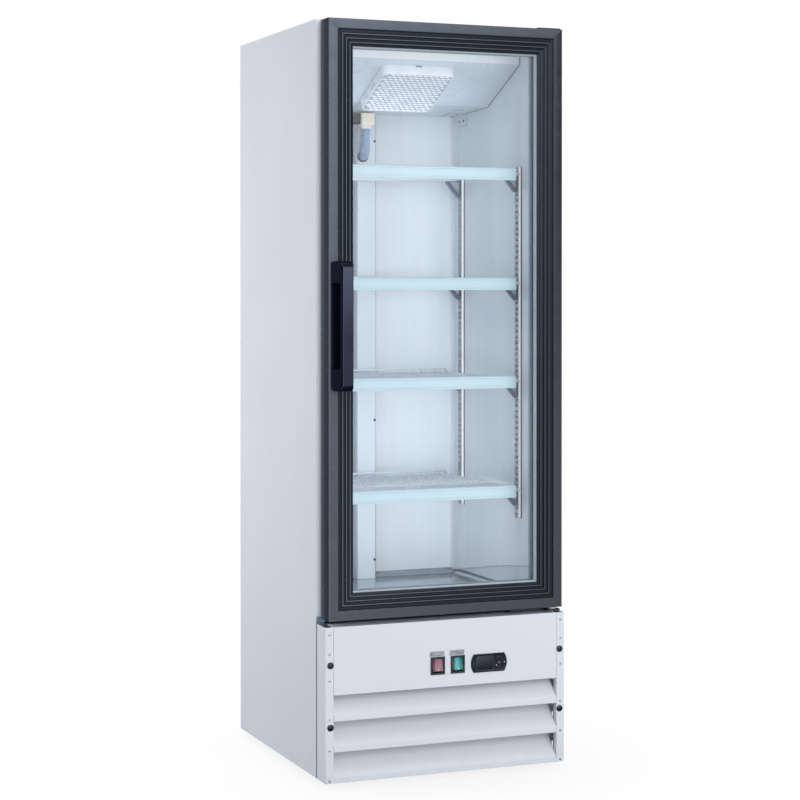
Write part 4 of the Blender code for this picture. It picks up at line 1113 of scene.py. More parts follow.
# Clip outlines: (x from the middle, height from the clip's top).
STRAP_OUTER = [(225.7, 0.0), (191.0, 0.0), (190.7, -1.5), (191.0, -5.5), (218.6, -38.8)]
STRAP_OUTER += [(221.5 + 4.2 * math.sin(math.radians(a)), -35.5 - 4.2 * math.cos(math.radians(a)))
                for a in (0, 30, 60, 88)]
STRAP_INNER = [(224.4, -2.2), (200.5, -2.2), (199.6, -2.8), (199.5, -4.6), (219.8, -29.0),
               (221.3, -30.4), (222.8, -30.0), (223.8, -28.5), (224.4, -26.0)]
WEB = [(224.3, -2.3), (200.0, -2.3), (199.7, -4.4), (220.2, -29.0), (224.3, -26.5)]


def shelf_clips(side, depth, corner):
    straps, webs = bmesh.new(), bmesh.new()
    for top in CLIP_TOPS:
        loops = [[point(side * x, depth + offset, top + rise) for x, rise in outline]
                 for outline, offset in ((STRAP_OUTER, -5), (STRAP_OUTER, 5),
                                         (STRAP_INNER, 5), (STRAP_INNER, -5))]
        loft(loops, straps, closed=True)
        along_y([(side * x, top + rise) for x, rise in WEB], depth - 0.9, depth + 0.9, webs)
        for hook in (top - 4.6, top - 17.2):
            box(mirrored(side, 223.8, 229.0), (depth - 1.6, depth + 1.6), (hook - 3.2, hook),
                straps)
    add_piece("clip_straps_" + corner, straps, "shaded_clip_metal", "bright_zinc", bevel=0.3,
              replaces="shelf_clips_" + corner)
    add_piece("clip_webs_" + corner, webs, "lit_clip_metal", "bright_zinc", bevel=0.15)


for side, side_name in SIDES:
    for depth, end_name in ((140.0, "front"), (450.0, "rear")):
        shelf_clips(side, depth, f"{end_name}_{side_name}")

# ---------------------------------------------------------------- slotted standards
STANDARD_FACE, STANDARD_BACK = 226.0, 232.2     # x of the web and of the flanges' ends
STANDARD_WIDTH, STANDARD_SHEET = 20.0, 1.2
SLOT_FROM, SLOT_TO = 5.2, 14.8                  # slot, from the standard's front
SLOT_HALF, SLOT_PITCH, SLOT_MARGIN = 2.3, 12.55, 8.0


def slotted_sheet(side, depth, bottom, top):
    """A channel whose web is pierced by a slot at every pitch, as one closed sheet."""
    def section(flange, web, edge):
        return [(flange, edge), (web, edge), (web, SLOT_FROM), (web, SLOT_TO),
                (web, STANDARD_WIDTH - edge), (flange, STANDARD_WIDTH - edge)]

    levels = [bottom]
    slot_rows = set()
    first = CLIP_TOPS[0] - 7.0
    height = first + math.ceil((bottom + SLOT_MARGIN - first) / SLOT_PITCH) * SLOT_PITCH
    while height < top - SLOT_MARGIN:
        slot_rows.add(len(levels))
        levels += [height - SLOT_HALF, height + SLOT_HALF]
        height += SLOT_PITCH
    levels.append(top)

    mesh = bmesh.new()
    outer, inner = [
        [[mesh.verts.new(point(side * x, depth + offset, level)) for x, offset in outline]
         for level in levels]
        for outline in (section(STANDARD_BACK, STANDARD_FACE, 0.0),
                        section(STANDARD_BACK, STANDARD_FACE + STANDARD_SHEET, STANDARD_SHEET))]
    columns, rows, slot_column = len(outer[0]) - 1, len(levels) - 1, 2

    def solid(i, j):
        return (0 <= i < columns and 0 <= j < rows
                and not (i == slot_column and j in slot_rows))

    for i in range(columns):
        for j in range(rows):
            if not solid(i, j):
                continue
            a, b, c, d = outer[j][i], outer[j][i + 1], outer[j + 1][i + 1], outer[j + 1][i]
            e, f, g, h = inner[j][i], inner[j][i + 1], inner[j + 1][i + 1], inner[j + 1][i]
            mesh.faces.new((a, b, c, d))
            mesh.faces.new((f, e, h, g))
            # Close the sheet's thickness wherever the neighbour is missing.
            if not solid(i - 1, j):
                mesh.faces.new((a, d, h, e))
            if not solid(i + 1, j):
                mesh.faces.new((b, f, g, c))
            if not solid(i, j - 1):
                mesh.faces.new((a, e, f, b))
            if not solid(i, j + 1):
                mesh.faces.new((d, c, g, h))
    return mesh


def shelf_standard(name, side):
    front, _, bottom, top = cad_span(name)
    add_piece(name + "_slotted", slotted_sheet(side, front, bottom, top), "plated_standard",
              "bright_zinc", bevel=0.5, segments=3, angle=50, replaces=name)
    # Painted shade: a dark block behind the slots so they read dark.
    painted_slot_shade = box(mirrored(side, 228.4, 231.6), (front + 1.6, front + 18.4),
                  (bottom + 1.5, top - 1.5))
    add_piece(name + "_backing", painted_slot_shade, "black_rubber_and_painted_shade", "gasket", sharp=None)
    # Painted shadow: a dark strip on the wall beside the standard's front flange.
    painted_shading_strip = box(mirrored(side, 231.9, 232.45), (front - 4.6, front + 0.4),
               (bottom - 0.6, top + 0.6))
    add_piece(name + "_bead", painted_shading_strip, "standard_bead", "gasket", sharp=None)


for side, side_name in SIDES:
    for end_name in ("front", "rear"):
        shelf_standard(f"standard_{end_name}_{side_name}", side)
    mesh = bmesh.new()
    for depth in (140.0, 450.0):
        for height in (516.5, 1277.5):
            screw_head(point(side * 227.4, depth, height), (-side, 0, 0), 3.4, 1.0, 14, mesh)
    add_piece("standard_screws_" + side_name, mesh, "dark_screw", "dark_screw", sharp=40)

# ---------------------------------------------------------------- ceiling lamp
# The evaporator cover slopes down from front to back: (depth, height) of the slope's ends.
SLOPE_FRONT, SLOPE_BACK = (136.0, 1509.0), (305.0, 1429.0)
slope = math.atan2(SLOPE_BACK[1] - SLOPE_FRONT[1], SLOPE_BACK[0] - SLOPE_FRONT[0])
SLOPE_RUN, SLOPE_RISE = math.cos(slope), math.sin(slope)
LAMP_HALF_X, LAMP_HALF_RUN = 84.0, 81.5
LAMP_DEPTH = SLOPE_BACK[0] - 0.5 - LAMP_HALF_RUN * SLOPE_RUN
LAMP_HEIGHT = SLOPE_BACK[1] - LAMP_HALF_RUN * SLOPE_RISE
# Lamp rim, outside then inside: (inset, drop below the cover).
LAMP_RIM = ((0.0, 0.3), (0.0, 12.0), (0.4, 16.5), (1.2, 19.4), (2.4, 21.2), (3.6, 21.6),
            (4.2, 21.0), (4.0, 17.0), (4.0, 9.0), (4.0, 0.3))
PRISM_ROWS, PRISM_COLUMNS, PRISM_SIDES = 17, 12, 10
# Prism rings: (share of full size, drop below the cover).
PRISM_RINGS = ((1.0, 20.7), (0.94, 21.5), (0.66, 22.2))


def on_slope(x, run, drop):
    """A place from the lamp's centre: across, down the slope, and square out below it."""
    return point(x, LAMP_DEPTH + run * SLOPE_RUN + drop * SLOPE_RISE,
                 LAMP_HEIGHT + run * SLOPE_RISE - drop * SLOPE_RUN)


def slope_slab(outline, drops):
    return loft([[on_slope(x, run, drop) for x, run in outline] for drop in drops])


def lamp():
    loops = []
    for inset, drop in LAMP_RIM:
        half_x, half_run = LAMP_HALF_X - inset, LAMP_HALF_RUN - inset
        outline = rounded(-half_x, half_x, -half_run, half_run, max(15 - inset * 0.7, 4), 6)
        loops.append([on_slope(x, run, drop) for x, run in outline])
    add_piece("lamp_diffuser_rim", loft(loops, closed=True), "lamp_opal", "lamp_diffuser",
              sharp=50, replaces="lamp_diffuser")
    plate = rounded(-79.6, 79.6, -77.1, 77.1, 11.5, 6)
    add_piece("lamp_lens_plate", slope_slab(plate, (17.6, 20.9)), "lamp_lens_base",
              "lamp_diffuser", bevel=0.3)

    mesh = bmesh.new()
    angles = [2 * math.pi * i / PRISM_SIDES for i in range(PRISM_SIDES)]
    for row in range(PRISM_ROWS):
        run = -73.0 + 146.0 * row / (PRISM_ROWS - 1)
        shift = 0.25 if row % 2 else -0.25
        for column in range(PRISM_COLUMNS):
            x = -76.0 + 152.0 * (column + 0.5 + shift) / PRISM_COLUMNS
            if abs(x) > 75 or (abs(x) > 70 and abs(run) > 69):
                continue
            loops = [[on_slope(x + 6.0 * share * math.cos(a), run + 2.9 * share * math.sin(a),
                               drop) for a in angles] for share, drop in PRISM_RINGS]
            loft(loops + [[on_slope(x, run, 22.4)]], mesh)
    add_piece("lamp_prism_lens", mesh, "lamp_opal", "lamp_diffuser", sharp=50)

    latch = ((-7, -82.6), (7, -82.6), (7, -80.5), (-7, -80.5))
    add_piece("lamp_latch", slope_slab(latch, (0.4, 3.6)), "grey_seal_and_painted_shadow", "lamp_diffuser",
              bevel=0.3)


lamp()


# ---------------------------------------------------------------- evaporator cover's sides
def below_cover(side, outline, upper, lower):
    """A thin plate that follows the cover's flatter rear part, by gaps below it."""
    return loft([[point(side * x, depth, under_cover(depth, gap)) for x, depth in outline]
                 for gap in (lower, upper)])


def under_cover(depth, gap):
    return SLOPE_BACK[1] - 9.0 * (depth - SLOPE_BACK[0]) / 192.6 - gap


def cover_side(side, side_name):
    """Grey strip along the cover's edge, a painted shadow at the wall, and a bracket at its rear
    corner with a painted shadow round it.
    """
    path = [(137.0, 1533.0), (137.0, 1509.6), (305.3, 1430.0), (497.0, 1421.0)]
    strip = [(depth - 1.4, height - 1.6) for depth, height in path]
    strip += [(depth + 1.0, height + 3.0) for depth, height in reversed(path)]
    add_piece("evaporator_cover_seal_" + side_name,
              along_x(strip, *mirrored(side, 230.6, 232.2)), "grey_seal_and_painted_shadow", "gasket", sharp=None)

    # Each is a leg on the wall and a leg below the cover, in one mesh.
    def angle_piece(name, material, slot, leg, wall_span, shelf, gaps, **edges):
        mesh = along_x(leg, *mirrored(side, *wall_span))
        loft([[point(side * x, depth, under_cover(depth, gap)) for x, depth in shelf]
              for gap in gaps], mesh)
        add_piece(name + side_name, mesh, material, slot, **edges)

    angle_piece("cover_bracket_", "cover_bracket", "liner_coating",
                rounded(424, 482, 1396.5, 1420.6, 3.0, 3), (231.2, 232.3),
                rounded(192, 231.6, 424, 482, 3.0, 3), (1.6, 0.3), bevel=0.3)
    angle_piece("cover_bracket_painted_shadow_", "sealant_and_painted_shade", "gasket",
                rounded(422.2, 483.8, 1394.7, 1420.4, 4.2, 3), (231.9, 232.42),
                rounded(190.2, 231.8, 422.2, 483.8, 4.2, 3), (0.85, 0.15), sharp=None)
    mesh = bmesh.new()
    for depth in (440.0, 466.0):
        screw_head(point(side * 231.2, depth, 1407.5), (-side, 0, 0), 3.3, 1.4, 14, mesh)
        screw_head(point(side * 214.0, depth, under_cover(depth, 1.6)), (0, 0, -1), 3.3, 1.4, 14,
                   mesh)
    add_piece("cover_bracket_screws_" + side_name, mesh, "dark_screw", "dark_screw", sharp=40)


for side, side_name in SIDES:
    cover_side(side, side_name)


# ---------------------------------------------------------------- drain
def drain():
    """Square fitting that narrows to a round spout, and a hose that bends back into the duct."""
    loops = []
    for grow, height in ((-1.2, 1419.3), (0, 1418.2), (0, 1393.6), (-1.4, 1391.6)):
        outline = rounded(-24 - grow, 10 + grow, 440 - grow, 470 + grow, 4.5, 4)
        loops.append([point(x, depth, height) for x, depth in outline])
    # Spout angles bunch into quarters, to meet the rounded corners one to one.
    angles = [math.radians(90 * (i // 5) + 90 * (i % 5) / 4) for i in range(20)]
    for radius, height in ((13.6, 1389.2), (12.6, 1387.0), (11.8, 1384.6), (11.2, 1383.0)):
        loops.append([point(-8.5 + radius * math.cos(a), 453.5 + radius * math.sin(a), height)
                      for a in angles])
    add_piece("drain_fitting", loft(loops), "drain_plastic", "drain_plastic", sharp=45,
              replaces="drain_line")

    hose_x, bend = -10.6, 17
    path = [point(x, 452, height) for x, height in
            ((-8.5, 1386), (-8.6, 1378), (-8.9, 1366), (-9.4, 1352), (-10.2, 1341))]
    for i in range(9):
        a = math.radians(90 * i / 8)
        path.append(point(hose_x, 452 + bend * (1 - math.cos(a)), 1337 - bend * math.sin(a)))
    path.append(point(hose_x, 480, 1320))
    radii = [9.8, 9.6, 8.8, 9.4, 10.2] + [10.4] * 10
    add_piece("drain_hose", tube(path, radii, 22), "drain_hose", "drain_plastic", sharp=60)
    grommet = turned(point(hose_x, 462.5, 1320), (0, 1, 0),
                     [(10.7, 0), (12.1, 0.4), (12.1, 8.6), (10.7, 9.2)], 24)
    add_piece("drain_hose_grommet", grommet, "black_rubber_and_painted_shade", "gasket", bevel=0.5)
    block = along_x(rounded(444.0, 466.0, 1393.0, 1417.2, 3.0, 3), -66.0, -24.6)
    add_piece("drain_heater_block", block, "heater_block", "gasket", bevel=0.6)


drain()

# ---------------------------------------------------------------- liner corners, duct screws and painted shading
cross_screws("duct_cover_screws", [point(20.4, 472.0, h) for h in (1356.5, 1034.0, 711.5, 388.0)],
             (0, -1, 0), radius=3.0, dome=1.5, material="dark_screw")
CORNER_RADIUS, CORNER_BACK = 9.0, 497.9


def liner_corners_and_painted_shading(side, side_name):
    radius = CORNER_RADIUS
    fillet = [(side * WALL, CORNER_BACK), (side * (WALL - 0.05), CORNER_BACK - radius)]
    for degrees in range(10, 90, 10):
        a = math.radians(degrees)
        fillet.append((side * (WALL - radius * (1 - math.cos(a))),
                       CORNER_BACK - radius * (1 - math.sin(a))))
    fillet.append((side * (WALL - radius), CORNER_BACK - 0.05))
    add_piece("liner_corner_" + side_name, along_z(fillet, 352.0, 1419.0), "coated_sheet",
              "liner_coating", sharp=50)
    flange = ((232.45, 449.4), (232.0, 449.9), (231.3, 451.2), (231.3, 490.0), (232.45, 490.0))
    add_piece("liner_corner_flange_" + side_name,
              along_z([(side * x, depth) for x, depth in flange], 352.0, 1396.0),
              "liner_coating", "liner_coating", sharp=20)
    # Painted highlight: a bright line down the back wall in the corner.
    painted_shading_strip = box(mirrored(side, 227.6, 229.8), (496.9, CORNER_BACK), (357.0, 1396.0))
    add_piece("liner_corner_bead_" + side_name, painted_shading_strip, "painted_highlight_white", "liner_coating", bevel=0.3)
    # Painted shadow: a dark strip on the back wall beside the duct's edge.
    joint = box(mirrored(side, 23.6, 26.0), (497.2, CORNER_BACK), (344.0, 1418.8))
    add_piece("duct_painted_shadow_" + side_name, joint, "sealant_and_painted_shade", "gasket", sharp=None)
    # Painted shade: a faint darker line down the duct's front edge.
    edge_painted_shade = box(mirrored(side, 21.9, 23.3), (471.55, 472.05), (344.4, 1418.0))
    add_piece("duct_hem_" + side_name, edge_painted_shade, "duct_hem", "liner_coating", sharp=None)


for side, side_name in SIDES:
    liner_corners_and_painted_shading(side, side_name)

# ---------------------------------------------------------------- floor coving
COVE = 13.0
hollow = [math.radians(degrees) for degrees in range(12, 90, 13)]
# Coving section: (out from the wall, up from the floor).
COVE_SECTION = [(0.1, 0.1), (COVE, 0.1), (COVE, 1.0)]
COVE_SECTION += [(COVE - (COVE - 1.0) * math.sin(a), 1.0 + (COVE - 1.0) * (1 - math.cos(a)))
                 for a in hollow]
COVE_SECTION += [(1.0, COVE), (0.1, COVE)]


def coving(name, place, ends):
    """Coving between two ends of (run, mitre); place gives x and depth from (out, run)."""
    loops = [[point(*place(out, run + mitre * out), LINER_FLOOR + rise)
              for out, rise in COVE_SECTION] for run, mitre in ends]
    add_piece("floor_coving_" + name, loft(loops), "coving_metal", "galvanised", sharp=50)


def along_back(out, run):
    return run, LINER_BACK - out


coving("back_right", along_back, ((24.0, 0), (WALL, -1)))
coving("back_left", along_back, ((-WALL, 1), (-24.0, 0)))
coving("right", lambda out, run: (WALL - out, run), ((62.0, 0), (LINER_BACK, -1)))
coving("left", lambda out, run: (-WALL + out, run), ((62.0, 0), (LINER_BACK, -1)))

RIVET_PITCH = 34.0
COVING_RIVET = [(1.7, -0.6), (1.7, 0.3), (1.2, 0.7), (0, 0.8)]
rivet_height = LINER_FLOOR + 9.6
mesh = bmesh.new()
for side, _ in SIDES:
    for i in range(12):
        turned(point(side * 231.6, 90 + RIVET_PITCH * i, rivet_height), (-side, 0, 0.35),
               COVING_RIVET, 10, mesh)
for i in range(6):
    for side in (1, -1):
        turned(point(side * (44 + RIVET_PITCH * i), 497.1, rivet_height), (0, -1, 0.35),
               COVING_RIVET, 10, mesh)
add_piece("coving_rivets", mesh, "rivet", "galvanised", sharp=40)

# Probe cable on the right wall, from back to front: (depth, height).
PROBE_CABLE = (
    (486.0, 353.5), (477.0, 355.1), (450.0, 359.9), (424.8, 364.2), (388.0, 370.0),
    (351.0, 375.7), (315.0, 381.7), (279.5, 387.6), (246.0, 393.0), (213.0, 397.9),
    (182.0, 402.0), (152.6, 405.4), (120.0, 408.9), (88.0, 412.0))
# The white cable is given the painted highlight white so it stays bright in the wall's shade.
add_piece("temperature_probe_cable", tube([point(230.9, *place) for place in PROBE_CABLE], 1.4, 10),
          "painted_highlight_white", "coated_wire", sharp=60)
probe = turned(point(229.4, *PROBE_CABLE[-1]), (0, 1, 0),
               [(1.6, -24), (2.6, -23), (3.0, -20), (3.0, 0), (1.6, 2)], 14)
add_piece("temperature_probe", probe, "bright_screw", "bright_zinc", sharp=40)

# ---------------------------------------------------------------- lower cover
SHEET = 1.2
SWITCH_HEIGHT = 226.2
CONTROLLER_X, CONTROLLER_HEIGHT = 95.0, 225.0


def around(centre, half):
    return (centre - half, centre + half)


def lower_cover():
    """Folded sheet with openings for the switches and the controller, and a black strip on top as
    painted shadow under the door.
    """
    _, back, bottom, top = cad_span("control_panel")
    section = [(0.0, bottom), (0.0, top), (back, top), (back, top - SHEET), (SHEET, top - SHEET),
               (SHEET, bottom + SHEET), (12.0, bottom + SHEET), (12.0, bottom)]
    panel = add_piece("control_panel_sheet", along_x(section, -254.25, 254.25), "cover_paint",
                      "white_paint", sharp=None, replaces="control_panel")
    openings = bmesh.new()
    for centre in SWITCH_X.values():
        box(around(centre, 13.9), (-5, 5), around(SWITCH_HEIGHT, 16.4), openings)
    box(around(CONTROLLER_X, 35.9), (-5, 5), around(CONTROLLER_HEIGHT, 14.9), openings)
    boolean(panel, openings)
    round_edges(panel, 0.5, segments=3)
    strip = box((-254.0, 254.0), (50.5, 57.0), (top + 0.05, top + 3.2))
    add_piece("cover_top_painted_shadow", strip, "black_painted_shadow", "gasket", bevel=0.4)


def cover_post(side, name):
    """Folded post beside the lower cover."""
    inner, outer = 254.75, 272.5
    _, _, bottom, top = cad_span(name)
    section = [(inner, 0.0), (outer, 0.0), (outer, 52.0), (outer - SHEET, 52.0),
               (outer - SHEET, SHEET), (inner + SHEET, SHEET), (inner + SHEET, 13.8),
               (inner, 13.8)]
    add_piece(name + "_channel", along_z([(side * x, depth) for x, depth in section], bottom, top),
              "white_paint", "white_paint", bevel=0.55, segments=3, replaces=name)


def post_details(side, side_name):
    """Screws and rivets on a post, and tabs behind the louvres."""
    forward = (0, -1, 0)
    places = [point(side * 261.7, 0.0, height) for height in (243.0, 115.0)]
    mesh = bmesh.new()
    for centre in places:
        turned(centre, forward, [(7.0, 0.1), (7.0, 0.9), (6.6, 1.5), (5.2, 2.2), (3.0, 2.65),
                                 (0, 2.8)], 24, mesh)
    heads = add_piece("cover_screw_heads_" + side_name, mesh, "dark_screw", "dark_screw",
                      sharp=40, replaces="cover_screws_" + side_name)
    cross_recesses(heads, places, forward, radius=6.2, depth=1.2,
                   turn=0.9 if side > 0 else 0.4, turn_step=0.9)

    mesh = bmesh.new()
    for height in (306.0, 266.0, 211.0, 131.5, 67.5, 5.4):
        turned(point(side * 263.6, 0, height), forward,
               [(2.3, -0.2), (2.4, 0.2), (2.1, 0.6), (1.2, 0.85), (1.0, 0.4), (0, 0.3)], 14, mesh)
    add_piece("post_rivets_" + side_name, mesh, "rivet", "white_paint", sharp=40)

    mesh = bmesh.new()
    for lip in (181.0, 127.0, 63.6):
        heights = (lip - 29.0, lip - 12.0)
        box(mirrored(side, 249.0, 270.6), (48.6, 49.8), heights, mesh)
        box(mirrored(side, 249.0, 250.2), (48.6, 55.0), heights, mesh)
    add_piece("louvre_tabs_" + side_name, mesh, "grey_bracket", "galvanised", bevel=0.3)


def framed(outer, inner, front, back):
    """Flat frame between two outlines of (x, height)."""
    loops = [[point(x, depth, height) for x, height in outline] for outline, depth in
             ((outer, front[0]), (front[1], front[2]), (inner, back), (outer, back))]
    return loops


def switch_details(colour, left, right):
    """Bordered sticker above a switch, and a white dot low on its rocker as a painted highlight."""
    label = along_y(rounded(left, right, 245.6, 256.9, 1.0, 3), -0.30, -0.02)
    add_piece("switch_label_" + colour, label, "blank_label", "white_paint", bevel=0.08)
    outer = rounded(left - 0.1, right + 0.1, 245.5, 257.0, 1.1, 3)
    inner = rounded(left + 0.9, right - 0.9, 246.5, 256.0, 0.6, 3)
    loops = [[point(x, depth, height) for x, height in outline] for outline, depth in
             ((outer, -0.42), (inner, -0.42), (inner, -0.31), (outer, -0.31))]
    add_piece("switch_label_border_" + colour, loft(loops, closed=True), "grey_bracket",
              "white_paint", sharp=None)
    # Painted highlight: a glowing white dot on the rocker.
    painted_highlight_dot = turned(point(SWITCH_X[colour] + 0.4, -4.1, 218.2), (0, -1, -0.15),
                 [(1.5, -0.6), (1.5, 0.15), (1.1, 0.4), (0, 0.45)], 14)
    add_piece("rocker_pip_" + colour, painted_highlight_dot, "white_dot_painted_glow", colour + "_lens", colour + "_rocker",
              sharp=40)


lower_cover()
for side, side_name in SIDES:
    cover_post(side, "grille_post_" + side_name)
for side, side_name in SIDES:
    post_details(side, side_name)
switch_details("red", left=-40.8, right=-7.0)
switch_details("green", left=4.4, right=38.4)

# ---------------------------------------------------------------- controller
key_boxes = [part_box("controller_key_" + key) for key in ("up", "set", "down")]
KEY_CENTRES = [Vector(low + high) / 2 for low, high in key_boxes]
# Stepped rim round a slightly sunk face: (growth of the outline, depth).
CONTROLLER_STEPS = ((0.0, -0.2), (0.0, -2.2), (-0.35, -2.8), (-1.0, -3.15), (-1.9, -3.2),
                    (-2.4, -2.85), (-2.9, -2.7))


def bowed(grow):
    """Controller outline with bowed ends, grown by an amount."""
    half_width, half_height, radius = 41.4, 19.4, 33.0
    points = []
    for side in (1, -1):
        for i in range(9):
            a = math.radians(-36 + 9 * i)
            x = CONTROLLER_X + side * (half_width - radius + radius * math.cos(a) + grow)
            height = CONTROLLER_HEIGHT + (side * radius * math.sin(a) * (half_height + grow)
                                          / (radius * math.sin(math.radians(36))))
            points.append((x, height))
    return points


def key_holes():
    mesh = bmesh.new()
    for centre in KEY_CENTRES:
        turned(Vector((centre.x, PANEL_Y, centre.z)), (0, 1, 0), [(3.6, -7.0), (3.6, 2.0)], 24,
               mesh)
    return mesh


def controller():
    slot = "black_plastic"
    loops = [[point(x, depth, height) for x, height in bowed(grow)]
             for grow, depth in CONTROLLER_STEPS]
    front = add_piece("controller_front", loft(loops), "controller_plastic", slot, sharp=40,
                      replaces="controller_body")
    grooves = bmesh.new()
    for across in ((62.1, 62.9), (107.6, 108.2)):
        box(across, (-5, -2.2), (208.5, 241.5), grooves)
    boolean(front, grooves)
    boolean(front, key_holes(), sharp=40)

    window = along_y(rounded(65.0, 104.0, 211.0, 239.0, 3.0), -3.7, -3.0)
    add_piece("controller_window", window, "display_window", slot, bevel=0.3)
    outer = rounded(63.6, 105.4, 209.6, 240.4, 4.2)
    inner = rounded(65.2, 103.8, 211.2, 238.8, 2.9)
    loops = [[point(x, depth, height) for x, height in outline] for outline, depth in
             ((outer, -3.1), (outer, -3.8), (inner, -3.8), (inner, -3.1))]
    add_piece("controller_window_rim", loft(loops, closed=True), "black_plastic", slot,
              bevel=0.15)
    latch = along_y(rounded(57.6, 61.4, 217.5, 231.5, 1.6), -3.75, -3.1)
    add_piece("controller_end_latch", latch, "key_rubber", slot, bevel=0.3)

    section = ((6.9, -3.1), (6.9, -3.55), (6.1, -3.55), (6.1, -3.1))
    loops = [[point(119.0 + radius * math.cos(a), depth, 230.0 + radius * math.sin(a))
              for radius, depth in section] for a in (2 * math.pi * i / 32 for i in range(32))]
    ring = add_piece("controller_key_ring", loft(loops, closed=True), "key_rubber", slot,
                     sharp=40)
    boolean(ring, key_holes(), sharp=40)

    # A red LED, and white marks with a faint painted glow.
    for name, x, height, radius, material in (
            ("controller_red_mark", 117.7, 224.2, 2.5, "red_indicator"),
            ("controller_mark_low", 111.4, 218.9, 1.15, "white_dot_painted_glow"),
            ("controller_mark_right", 130.0, 225.0, 1.1, "white_dot_painted_glow")):
        mark = turned(point(x, -3.15, height), (0, -1, 0),
                      [(radius, 0), (radius, 0.35), (radius * 0.8, 0.55), (0, 0.6)], 16)
        add_piece(name, mark, material, slot, sharp=40)


controller()

# ---------------------------------------------------------------- lower hinge
mesh = bmesh.new()
for x in (214.0, 240.0):
    screw_head(point(x, 53.6, 315.5), (0, -1, 0), 3.6, 2.0, 16, mesh)
    screw_head(point(x + 2.0, 38.0, 327.4), (0, 0, 1), 3.8, 2.2, 16, mesh)
add_piece("hinge_plate_screws", mesh, "bright_screw", "bright_zinc", sharp=40)

# Bush section, up the outside and down the bore: (radius, height).
BUSH_SECTION = ((8.6, 327.6), (8.9, 328.2), (8.9, 331.6), (8.2, 332.6), (7.25, 332.6),
                (7.25, 327.6))
loops = [circle(point(254, 22, height), Vector((1, 0, 0)), Vector((0, 1, 0)), radius, 28)
         for radius, height in BUSH_SECTION]
add_piece("hinge_bush_lower", loft(loops, closed=True), "nylon_bush", "drain_plastic", sharp=40)

# ---------------------------------------------------------------- back
cover_back = cad_span("machine_rear_cover")[1]
cross_screws("rear_cover_screws", [point(x, cover_back, height) for x in (-229, -78, 78, 229)
                                   for height in (30.5, 277.0)],
             (0, 1, 0), radius=4.0, dome=0.9, material="bright_screw")

shell_back = cad_span("cabinet_shell")[1]
rivet_places = [(x, 40.0 + 150.0 * i) for x in (-262.0, 262.0) for i in range(11)]
rivet_places += [(x, 1562.0) for x in (-160.0, -54.0, 54.0, 160.0)]
mesh = bmesh.new()
for x, height in rivet_places:
    turned(point(x, shell_back, height), (0, 1, 0),
           [(3.0, -0.2), (3.1, 0.2), (2.6, 0.7), (1.2, 1.0), (0, 1.05)], 16, mesh)
add_piece("back_sheet_rivets", mesh, "rivet", "white_paint", sharp=40)
mesh = bmesh.new()
for x in (-252.0, 252.0):
    box(around(x, 0.5), (shell_back - 0.1, shell_back + 0.25), (8.0, 1567.0), mesh)
add_piece("back_sheet_seams", mesh, "sealant_and_painted_shade", "white_paint", sharp=None)


# ---------------------------------------------------------------- stage
def floor_material():
    """White floor that fades to pure white, with its own brightness for bounced rays."""
    mat = Material("studio_floor", (0.93, 0.93, 0.935), rough=0.6)
    mat.vary(spread=0.006, scale=3.0)
    length = mat.node("ShaderNodeVectorMath", {0: mat.coords}, operation="LENGTH")
    emission = "ShaderNodeEmission"
    white = mat.glowing(emission, (1, 1, 1), 1.0)
    fade = mat.remap(length.outputs["Value"], span=(0.28, 0.70), to=(0.85, 1.0), smooth=True)
    shader = mat.mix_shaders(fade, mat.bsdf.outputs[0], white)
    rays = mat.node("ShaderNodeLightPath").outputs
    bounce = mat.glowing(emission, (0.93, 0.96, 1.0), 0.20)
    shader = mat.mix_shaders(rays["Is Diffuse Ray"], shader, bounce)
    # Reflections see the floor bright in front and, as painted shade, dark under the cabinet.
    strength = mat.remap(mat.axis("Y"), span=(-1.0, -0.35), to=(1.0, 0.04), smooth=True)
    mirror = mat.glowing(emission, (0.95, 0.97, 1.0), strength)
    mat.output(mat.mix_shaders(rays["Is Glossy Ray"], shader, mirror))


floor_material()
floor_data = bpy.data.meshes.new("studio_floor")
mesh = bmesh.new()
bmesh.ops.create_grid(mesh, x_segments=2, y_segments=2, size=40.0)
mesh.to_mesh(floor_data)
mesh.free()
floor = bpy.data.objects.new("studio_floor", floor_data)
bpy.context.scene.collection.objects.link(floor)
floor_data.materials.append(MATERIALS["studio_floor"])

scene = bpy.context.scene
scene.view_settings.view_transform = "Standard"


# ---------------------------------------------------------------- world
def studio_world():
    """Even light, a white backdrop, and a dim room with soft panels for reflections."""
    world = bpy.data.worlds.new("studio")
    scene.world = world
    world.use_nodes = True
    world.node_tree.nodes.clear()
    graph = Graph(world.node_tree)

    def panel(direction, edge, strength):
        """Brightness round a direction; edge is the cosine range where it fades in."""
        coords = graph.node("ShaderNodeTexCoord").outputs["Generated"]
        dot = graph.node("ShaderNodeVectorMath", {0: coords, 1: Vector(direction).normalized()},
                         operation="DOT_PRODUCT")
        return graph.remap(dot.outputs["Value"], span=edge, to=(0.0, strength), smooth=True)

    front = panel((0.13, -0.94, 0.31), edge=(0.885, 0.985), strength=3.3)
    top = panel((0.0, -0.35, 1.0), edge=(0.72, 0.95), strength=2.0)
    left = panel((-0.80, -0.62, 0.12), edge=(0.86, 0.97), strength=1.9)
    room = 0.07
    gloss = graph.math("ADD", graph.math("ADD", front, top), graph.math("ADD", left, room))
    rays = graph.node("ShaderNodeLightPath").outputs
    background = "ShaderNodeBackground"
    diffuse = graph.glowing(background, (0.945, 0.97, 1.0), 0.50)
    glossy = graph.glowing(background, (0.93, 0.965, 1.0), gloss)
    seen = graph.glowing(background, (1, 1, 1), 1.0)
    shader = graph.mix_shaders(rays["Is Glossy Ray"], diffuse, glossy)
    shader = graph.mix_shaders(rays["Is Camera Ray"], shader, seen)
    graph.node("ShaderNodeOutputWorld", {0: shader})


studio_world()


